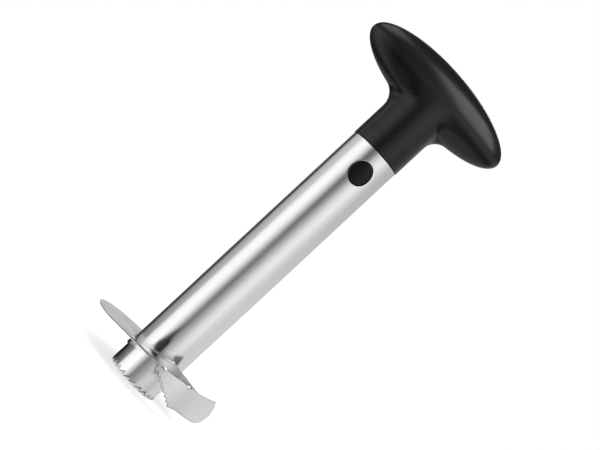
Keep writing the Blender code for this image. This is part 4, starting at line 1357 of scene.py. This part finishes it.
@dataclass
class Handle:
    """The two hollow halves of the handle and the screws that draw them together from behind."""

    finishes: Finishes
    form: HandleForm = field(default_factory=HandleForm)
    wall: float = 2.4 * MM
    parting_round: float = 0.3 * MM
    lip_gap: float = 0.03 * MM
    lip_shares: tuple[float, float] = (0.3, 0.8)
    screw_x: float = 30.0 * MM
    screw_drop: float = 12.5 * MM
    seat_depth: float = 6.0 * MM
    bore: float = 3.0 * MM
    shank: float = 1.6 * MM
    boss: float = 4.3 * MM
    hole_margin: float = 2.4 * MM
    hole_margin_across: float = 1.0 * MM
    hole_rings: int = 7
    close_turns: tuple[float, ...] = (0.0, 0.003, 0.008, 0.014, 0.021, 0.034)
    even_from: float = 0.06
    even_columns: int = 84
    first_screw_turn: float = 75.0
    next_screw_turn: float = 50.0

    def turns(self) -> Array:
        """The columns' turns: even, and closer beside the parting plane."""
        close, even = np.array(self.close_turns), (self.even_from, math.pi - self.even_from)
        return np.concatenate([close, np.linspace(*even, self.even_columns), math.pi - close[::-1]])

    def screw_places(self) -> list[tuple[float, float]]:
        """X and Z of each screw."""
        centre = self.form.centre
        return [(-self.screw_x, centre), (self.screw_x, centre), (0.0, centre - self.screw_drop)]

    def rounded(self, grid: Array) -> Array:
        """Rounds the edge beside the parting plane: X is drawn in by the quarter round's set-back.

        Args:
            grid: the outer surface.

        Returns:
            The grid with its X changed.
        """
        back = quarter_round(np.abs(grid[..., 1]) - SEAT_GAP / 2, self.parting_round)
        across = np.maximum(np.abs(grid[:, :1, 0]), self.parting_round)
        grid[..., 0] *= 1 - np.where(np.abs(grid[..., 0]) > across * 0.5, back / across, 0)
        return grid

    def half(self, side: float) -> Skin:
        """One half: the outer surface, the parting face and the inner surface, with bosses behind.

        Args:
            side: -1 for the front, 1 for the back.

        Returns:
            The skin.
        """
        skin = Skin("handle_shell_front" if side < 0 else "handle_shell_rear")
        inner_form = self.form.shrunk(self.wall)
        outer = self.rounded(self.form.surface(self.form.levels(), self.turns(), side))
        inner = inner_form.surface(inner_form.levels(), self.turns(), side)
        end, seat = SEAT_GAP / 2, self.seat_depth
        through = [(self.bore, seat), (self.shank, seat), (self.shank, end), (self.boss, end)]
        for form, grid, lining in ((self.form, outer, through), (inner_form, inner, [(self.boss, end)])):
            places = self.screw_places() if side > 0 else []
            openings = [self.open_hole(skin, form, grid, place, lining) for place in places]
            skin.grid(grid, leave_out=openings)
        grids = (outer, inner)
        tops = [np.array([0.0, side * SEAT_GAP / 2, grid[-1, 0, 2]]) for grid in grids]
        for column in (0, -1):
            edges = [np.vstack([grid[:, column], top]) for grid, top in zip(grids, tops)]
            skin.grid(self.parting(*edges, side))
        skin.grid(np.stack([outer[0], inner[0]]))
        for grid, top in zip(grids, tops):
            skin.grid(np.stack([grid[-1], np.broadcast_to(top, grid[-1].shape)]))
        return skin

    def open_hole(
        self,
        skin: Skin,
        form: HandleForm,
        grid: Array,
        place: tuple[float, float],
        lining: list[tuple[float, float]],
    ) -> Block:
        """Opens a screw's hole in the back: a patch from the grid in to the hole, then the hole's lining.

        Args:
            skin: the shell's skin.
            form: the surface's form.
            grid: its points.
            place: X and Z of the screw.
            lining: radius and Y of each ring, of which the first radius is the hole's.

        Returns:
            The block of the grid that the patch takes the place of.
        """
        radius = lining[0][0]
        room = radius + self.hole_margin
        rows = np.flatnonzero(np.abs(grid[:, 0, 2] - place[1]) < room)
        low, high = rows[0] - 1, rows[-1] + 1
        middle = (low + high) // 2
        columns = np.flatnonzero(np.abs(grid[middle, :, 0] - place[0]) < room + self.hole_margin_across)
        block = (slice(low, high), slice(columns[0] - 1, columns[-1] + 1))
        row, column = border(block)
        edge = grid[row, column][:, [0, 2]]
        turn = np.arctan2(edge[:, 1] - place[1], edge[:, 0] - place[0])
        hole = upright_ring(place, radius, turn, 0.0)[:, [0, 2]]
        chart = between(edge, hole, np.linspace(0, 1, self.hole_rings))
        flat = chart.reshape(-1, 2)
        patch = points_of(flat[:, 0], form.depth_at(flat[:, 0], flat[:, 1]), flat[:, 1])
        patch = patch.reshape(*chart.shape[:2], 3)
        patch[0] = grid[row, column]
        skin.grid(patch, round_columns=True)
        rings = [upright_ring(place, reach, turn, y) for reach, y in lining]
        skin.grid(np.stack([patch[-1], *rings]), round_columns=True)
        return block

    def parting(self, outer: Array, inner: Array, side: float) -> Array:
        """The face where the halves meet: flat behind, and in front with a lip that closes the gap.

        Args:
            outer: its outer edge.
            inner: its inner edge.
            side: -1 for the front, 1 for the back.

        Returns:
            A grid of points across the wall.
        """
        if side > 0:
            return np.stack([outer, inner])
        near, far = self.lip_shares
        face = between(outer, inner, np.array([0.0, near, near, far, far, 1.0]))
        face[2:4, :, 1] += SEAT_GAP - self.lip_gap
        return face

    def build(self) -> None:
        """Builds both shells and their screws."""
        for side, name in ((-1.0, "handle_front_shell"), (1.0, "handle_rear_shell")):
            settle(self.half(side).build(sharp=32.0), self.finishes.handle, name)
        for number, (x, z) in enumerate(self.screw_places()):
            screw = PanScrew(
                f"handle_screw_head_{number + 1}",
                radius=1.3 * MM,
                length=14.6 * MM,
                head_radius=2.7 * MM,
                head_height=2.0 * MM,
            )
            turn = math.radians(self.first_screw_turn + self.next_screw_turn * number)
            place = Matrix.Translation((x, self.seat_depth + SEAT_GAP, z))
            place = place @ Matrix.Rotation(-math.pi / 2, 4, "X") @ Matrix.Rotation(turn, 4, "Z")
            settle(screw.make(place), self.finishes.screw, f"handle_screw_{number + 1}")


# Buttons and latch


@dataclass
class PushButton:
    """A push button: an oval face that follows the tube, a flange inside and a cup for the spring."""

    finishes: Finishes
    end: str
    side: float
    half_width: float = 6.2 * MM
    half_height: float = 7.0 * MM
    face: float = 15.9 * MM
    edge_round: float = 0.45 * MM
    flange: float = 1.4 * MM
    flange_outer: float = 11.3 * MM
    flange_inner: float = 10.2 * MM
    face_thickness: float = 2.8 * MM
    cup: float = 3.25 * MM
    around: int = 120

    def build(self) -> None:
        """Builds the button as rings from the middle of its face, over its edge and flange, into its cup.

        The face follows the tube: Y is the root of the face's radius squared less x squared, less the drop
        of the rounded edge.
        """
        turn = whole_turn(self.around)
        rings, outer, inner = [], self.flange_outer, self.flange_inner
        for share in np.concatenate([np.linspace(1, 0.12, 12), np.linspace(0.1, 0, 9)]):
            x = self.half_width * (1 - share) * np.cos(turn)
            z = self.half_height * (1 - share) * np.sin(turn)
            drop = quarter_round(share * self.half_width, self.edge_round)
            rings.append((x, -(np.sqrt(self.face**2 - x**2) - drop), z))
        for out, y in ((0.0, outer), (self.flange, outer), (self.flange, inner)):
            x, z = (self.half_width + out) * np.cos(turn), (self.half_height + out) * np.sin(turn)
            rings.append((x, -y, z))
        floor = self.face - self.face_thickness
        for radius, y in ((self.cup, inner), (self.cup, floor), (0.0, floor)):
            rings.append((radius * np.cos(turn), -y, radius * np.sin(turn)))
        skin = Skin(f"button_{self.end}")
        skin.grid(at_button(np.stack([points_of(*ring) for ring in rings]), self.side), round_columns=True)
        node, body = f"{self.end}_button", f"{self.end}_release"
        settle(skin.build(), self.finishes.button, node, body)


@dataclass
class CoilSpring:
    """The spring behind a button: wire wound round Y, with a closed turn at each end."""

    finishes: Finishes
    end: str
    side: float
    radius: float = 2.6 * MM
    wire: float = 0.35 * MM
    turns: int = 7
    closed_pitch: float = 2.06
    start: float = 1.3 * MM
    stop: float = 12.8 * MM
    travel: float = 3.5 * MM
    steps_per_turn: int = 30
    around: int = 12

    def build(self) -> None:
        """Builds the wire as a circle carried along the coil, and gives the piece its own copy of its mesh.

        The coil is (r cos t, y, r sin t), where y grows evenly with t, and slowly in the end turns.
        """
        count = np.linspace(0, self.turns, self.turns * self.steps_per_turn + 1)[:, None]
        closed, span = self.closed_pitch * self.wire, self.stop - self.start - 2 * self.wire
        rise = np.interp(count, [0, 1, self.turns - 1, self.turns], [0, closed, span - closed, span])
        section = whole_turn(self.around)
        reach = self.radius + self.wire * np.cos(section)
        turn = 2 * math.pi * count
        along = self.start + self.wire + rise + self.wire * np.sin(section)
        points = at_button(points_of(reach * np.cos(turn), -along, reach * np.sin(turn)), self.side)
        skin = Skin(f"coil_{self.end}")
        skin.grid(points, round_columns=True)
        for row in (0, -1):
            skin.cap(points[row])
        piece = settle(skin.build(sharp=40.0), self.finishes.spring, f"{self.end}_spring")
        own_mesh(piece)


@dataclass
class Latch:
    """The latch inside the tube's top: its body and cap, and the cap's screws."""

    finishes: Finishes
    bottom: float = 149.3 * MM
    cap_thickness: float = 2.3 * MM
    screw_x: float = 11.4 * MM
    head_height: float = 1.1 * MM

    def build(self) -> None:
        """Dresses the CAD nodes, and builds the cap's screws with their recesses."""
        for name in ("latch_body", "latch_cap"):
            coat(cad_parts[name], self.finishes.latch)
            log.info("%s: CAD node in %s", name, self.finishes.latch.name)
        seat = self.bottom - SEAT_GAP - self.cap_thickness + self.head_height
        for number, x in enumerate((-self.screw_x, self.screw_x), 1):
            screw = PanScrew(
                f"latch_screw_head_{number}",
                radius=0.9 * MM,
                length=8.8 * MM,
                head_radius=1.9 * MM,
                head_height=self.head_height,
                recess_half=0.28 * MM,
            )
            place = Matrix.Translation((x, 0.0, seat)) @ Matrix.Rotation(math.pi, 4, "X")
            settle(screw.make(place), self.finishes.screw, f"latch_screw_{number}")


# Studio


@dataclass(frozen=True)
class Shade:
    """A darker or brighter window of the tent, in degrees round from the camera and above the horizon."""

    across: tuple[float, float]
    upright: tuple[float, float]
    keeps: float
    soft_across: float
    soft_upright: float

    def mask(self, hand: Nodes, turn: Socket, rise: Socket) -> Socket:
        """What the window does to the light: times its share inside, times 1 outside, with soft edges.

        Args:
            hand: the world's nodes.
            turn: degrees round from the camera.
            rise: degrees above the horizon.

        Returns:
            The factor.
        """
        inside = 1.0
        spans = ((turn, self.across, self.soft_across), (rise, self.upright, self.soft_upright))
        for value, (low, high), soft in spans:
            inside = hand.maths("MULTIPLY", inside, hand.fit(value, low - soft, low + soft))
            inside = hand.maths("MULTIPLY", inside, hand.fit(value, high - soft, high + soft, 1.0, 0.0))
        return hand.fit(inside, 0.0, 1.0, 1.0, self.keeps)


@dataclass(frozen=True)
class Softbox:
    """A soft lamp, placed by its degrees round from the camera and above the horizon and its distance."""

    name: str
    turn: float
    rise: float
    away: float
    size: tuple[float, float]
    glow: float

    def hang(self, camera_turn: float, height: float) -> None:
        """Makes the lamp, with a power of pi times its area times its glow.

        Args:
            camera_turn: the camera's angle.
            height: the height on the tube's axis that the lamp faces.
        """
        data = bpy.data.lights.new(self.name, "AREA")
        data.shape, data.size, data.size_y = "RECTANGLE", *self.size
        data.energy = math.pi * self.size[0] * self.size[1] * self.glow
        lamp = bpy.data.objects.new(self.name, data)
        rise = math.radians(self.rise)
        spot = polar(self.away * math.cos(rise), camera_turn + self.turn, height + self.away * math.sin(rise))
        place = Vector(spot)
        aim = Vector((0.0, 0.0, height)) - place
        lamp.matrix_world = Matrix.Translation(place) @ aim.to_track_quat("-Z", "Y").to_matrix().to_4x4()
        lamp.visible_camera = False
        bpy.context.scene.collection.objects.link(lamp)


@dataclass(frozen=True)
class BlackCard:
    """A card bent round the tool, with the heights in millimetres of its two edges at some angles."""

    radius: float
    angles: tuple[float, ...]
    low: tuple[float, ...]
    top: tuple[float, ...]

    def points(self) -> Array:
        """Its two edges as a grid."""
        edges = [np.array(heights) * MM for heights in (self.low, self.top)]
        return np.stack([polar(self.radius, np.array(self.angles), heights) for heights in edges])


@dataclass
class Studio:
    """The camera at the photograph's angle, a pale floor, soft lamps, a light tent and two black cards."""

    camera_place: tuple[float, float, float] = (-0.1186, -0.6725, 0.1038)
    aim: tuple[float, float, float] = (0.0, 0.0, 0.12407)
    tube_across: float = 0.7325
    tube_up: float = 0.6807
    lens: float = 75.0
    sensor: float = 36.0
    clip: tuple[float, float] = (0.01, 20.0)
    shift: tuple[float, float] = (0.00103, -0.00258)
    lamp_aim: float = 0.2
    lamps: tuple[Softbox, ...] = (
        Softbox("key_softbox", 51.0, 46.0, 0.95, (0.74, 0.78), 3.2),
        Softbox("fill_softbox", -76.0, 55.0, 0.9, (0.75, 0.55), 1.9),
        Softbox("rim_softbox", 180.0, 28.0, 0.9, (0.5, 0.16), 2.0),
    )
    plain: float = 0.5
    ceiling: float = 0.3
    ceiling_behind: float = 0.12
    ceiling_fade: float = 0.6
    ceiling_rise: tuple[float, float] = (11.0, 24.0)
    below: float = 0.8
    below_rise: tuple[float, float] = (-45.0, -14.0)
    tent: tuple[tuple[float, float], ...] = (
        (-180, 0.62), (-166, 0.58), (-158, 0.46), (-151, 0.07), (-131, 0.05), (-122, 0.36), (-108, 0.44),
        (-96, 0.5), (-88, 0.62), (-82, 1.16), (-66, 1.38), (-50, 1.36), (-40, 1.12), (-30, 0.78), (-22, 0.47),
        (-13, 0.2), (-6, 0.3), (8, 0.56), (30, 1.04), (48, 1.18), (66, 0.98), (90, 0.86), (135, 0.83),
        (160, 0.72), (180, 0.62),
    )
    shades: tuple[Shade, ...] = (
        Shade((-174.0, -86.0), (-9.7, -7.3), 0.04, 3.0, 0.3),
        Shade((-52.0, -4.0), (-9.7, -7.5), 1.5, 4.0, 0.3),
        Shade((7.0, 86.0), (-9.7, -7.5), 0.42, 9.0, 0.3),
        Shade((-25.0, 118.0), (-36.0, -13.5), 0.2, 8.0, 1.5),
        Shade((-22.0, 8.0), (5.6, 12.0), 0.4, 4.0, 0.6),
        Shade((-130.0, -90.0), (0.0, 22.0), 1.6, 4.0, 5.0),
        Shade((-190.0, -150.0), (-32.0, -14.0), 0.45, 4.0, 1.5),
        Shade((150.0, 190.0), (-32.0, -14.0), 0.45, 4.0, 1.5),
        Shade((80.0, 178.0), (1.0, 22.0), 0.74, 18.0, 5.0),
    )
    cards: tuple[BlackCard, ...] = (
        BlackCard(
            0.1, (-51.2, -46.0, -40.0, -34.0, -29.0, -20.0),
            (11.9, 12.1, 12.4, 12.65, 12.9, 13.3), (12.1, 17.0, 21.0, 25.0, 29.0, 32.0),
        ),
        BlackCard(
            0.05, (-39.7, -36.0, -32.0, -28.3, -13.7, -10.0),
            (18.75, 18.9, 19.15, 19.4, 20.3, 20.5), (20.0, 23.0, 26.0, 28.0, 28.0, 24.0),
        ),
    )
    floor_drop: float = 0.4 * MM
    floor_rings: tuple[float, ...] = (0.02, 0.1, 0.3, 1.0, 3.0)
    floor_around: int = 96
    floor_grain: float = 40.0
    floor_greys: tuple[float, float] = (0.86, 0.88)
    floor_lift: float = 0.57

    @property
    def camera_turn(self) -> float:
        """The camera's angle in radians."""
        return math.atan2(self.camera_place[0], -self.camera_place[1])

    def place_camera(self) -> None:
        """Makes the camera, rolled so that the tube leans across the picture as in the photograph."""
        data = bpy.data.cameras.new("photo_camera")
        data.lens, data.sensor_width = self.lens, self.sensor
        data.shift_x, data.shift_y = self.shift
        data.clip_start, data.clip_end = self.clip
        camera = bpy.data.objects.new("photo_camera", data)
        ahead = (Vector(self.aim) - Vector(self.camera_place)).normalized()
        level = ahead.cross(Vector((0, 0, 1))).normalized()
        upright = level.cross(ahead)
        right = upright * self.tube_across + level * self.tube_up
        up = upright * self.tube_up - level * self.tube_across
        turn = Matrix((right.normalized(), up.normalized(), -ahead)).transposed()
        camera.matrix_world = Matrix.Translation(self.camera_place) @ turn.to_4x4()
        bpy.context.scene.collection.objects.link(camera)
        bpy.context.scene.camera = camera

    def panels(self, hand: Nodes, share: Socket) -> Socket:
        """The tent's light round the horizon: a ramp that holds half of each level, doubled again.

        Args:
            hand: the world's nodes.
            share: how far round from straight ahead of the camera, from 0 to 1.

        Returns:
            The strength of the light.
        """
        ramp = hand.add("ShaderNodeValToRGB", {0: share})
        stops = ramp.color_ramp.elements
        while len(stops) > 1:
            stops.remove(stops[-1])
        for number, (angle, value) in enumerate(self.tent):
            at = (angle + 180) / 360
            stop = stops[0] if number == 0 else stops.new(at)
            stop.position, stop.color = at, grey(value / 2)
        return hand.maths("MULTIPLY", ramp.outputs[0], 2.0)

    def mirrored(self, hand: Nodes) -> Socket:
        """What glossy surfaces show: the panels with their windows, a ceiling above and less light below.

        Args:
            hand: the world's nodes.

        Returns:
            The strength of the light.
        """
        toward = hand.add("ShaderNodeTexCoord").outputs["Generated"]
        parts = hand.add("ShaderNodeSeparateXYZ", {0: toward}).outputs
        around = hand.maths("ARCTAN2", parts[0], hand.maths("MULTIPLY", parts[1], -1.0))
        from_camera = hand.maths("DIVIDE", hand.maths("SUBTRACT", around, self.camera_turn), 2 * math.pi)
        share = hand.maths("FRACT", hand.maths("ADD", from_camera, 1.5))
        turn = hand.fit(share, 0.0, 1.0, -180.0, 180.0)
        rise = hand.maths("MULTIPLY", hand.maths("ARCSINE", parts[2]), 180 / math.pi)
        light = self.panels(hand, share)
        for shade in self.shades:
            light = hand.maths("MULTIPLY", light, shade.mask(hand, turn, rise))
        overhead = hand.fit(rise, *self.ceiling_rise)
        fade = self.ceiling_fade
        above = hand.fit(hand.maths("COSINE", around), -fade, fade, self.ceiling_behind, self.ceiling)
        beside = hand.maths("MULTIPLY", light, hand.maths("SUBTRACT", 1.0, overhead))
        light = hand.maths("ADD", hand.maths("MULTIPLY", above, overhead), beside)
        return hand.maths("MULTIPLY", light, hand.fit(rise, *self.below_rise, self.below, 1.0))

    def hang_tent(self) -> None:
        """The world: white to the camera, plain to dull surfaces, and light and shade to glossy ones."""
        world = bpy.data.worlds.new("light_tent")
        bpy.context.scene.world = world
        world.use_nodes = True
        hand = Nodes(world.node_tree)
        rays = hand.add("ShaderNodeLightPath").outputs
        seen = hand.mix(rays["Is Glossy Ray"], self.plain, self.mirrored(hand))
        shown = hand.maths("MAXIMUM", rays["Is Camera Ray"], rays["Is Transmission Ray"])
        background = world.node_tree.nodes["Background"]
        hand.feed(background, {"Color": grey(1.0), "Strength": hand.mix(shown, seen, 1.0)})

    def stand_cards(self) -> None:
        """Two black cards before the tool, which only glossy surfaces show: they darken the tube's foot."""
        skin = Skin("black_flag")
        for card in self.cards:
            skin.grid(card.points())
        flag = skin.build()
        material, hand, shader = new_material("black_card")
        hand.feed(shader, {"Base Color": grey(0.01), "Roughness": 1.0})
        coat(flag, material)
        flag.visible_camera = flag.visible_diffuse = flag.visible_shadow = flag.visible_transmission = False

    def lay_floor(self) -> None:
        """A wide pale disc, lifted to white for the camera and dimmed there only by the tool's shadow."""
        reach = np.array(self.floor_rings)[:, None]
        points = turned(reach, whole_turn(self.floor_around), -self.floor_drop)
        skin = Skin("floor")
        skin.grid(points, round_columns=True)
        skin.cap(points[0])
        floor = skin.build()
        if floor.data.polygons[0].normal.z < 0:
            floor.data.flip_normals()
        material, hand, shader = new_material("pale_floor")
        rays = hand.add("ShaderNodeLightPath").outputs
        above = hand.maths("SUBTRACT", 1.0, hand.add("ShaderNodeNewGeometry").outputs["Backfacing"])
        grain = hand.noise(hand.place(), self.floor_grain, detail=3.0)
        low, high = (grey(level) for level in self.floor_greys)
        hand.feed(shader, {
            "Base Color": hand.blend(grain, low, high),
            "Roughness": 0.9,
            "Specular IOR Level": 0.0,
            "Emission Color": hand.blend(rays["Is Camera Ray"], grey(0.0), grey(self.floor_lift)),
            "Emission Strength": 1.0,
            "Alpha": above,
        })
        coat(floor, material)
        floor.visible_glossy = False

    def build(self) -> None:
        """Sets up the camera, the tent, the lamps, the cards and the floor."""
        view = bpy.context.scene.view_settings
        view.view_transform = "Standard"
        self.place_camera()
        self.hang_tent()
        for lamp in self.lamps:
            lamp.hang(math.degrees(self.camera_turn), self.lamp_aim)
        self.stand_cards()
        self.lay_floor()


def main() -> None:
    """Builds the studio, then each part of the tool from the tube to the handle."""
    logging.basicConfig(level=logging.INFO, format="%(message)s")
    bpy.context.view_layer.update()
    finishes = Finishes.make()
    Studio().build()
    ring = SlicingRing(finishes)
    parts = [CoreTube(finishes), ring, RimBlade(finishes, ring), WeldBeads(finishes, ring), Handle(finishes)]
    for end, side in (("front", -1.0), ("rear", 1.0)):
        parts += [PushButton(finishes, end, side), CoilSpring(finishes, end, side)]
    for part in (*parts, Latch(finishes)):
        part.build()


if __name__ == "__main__":
    main()
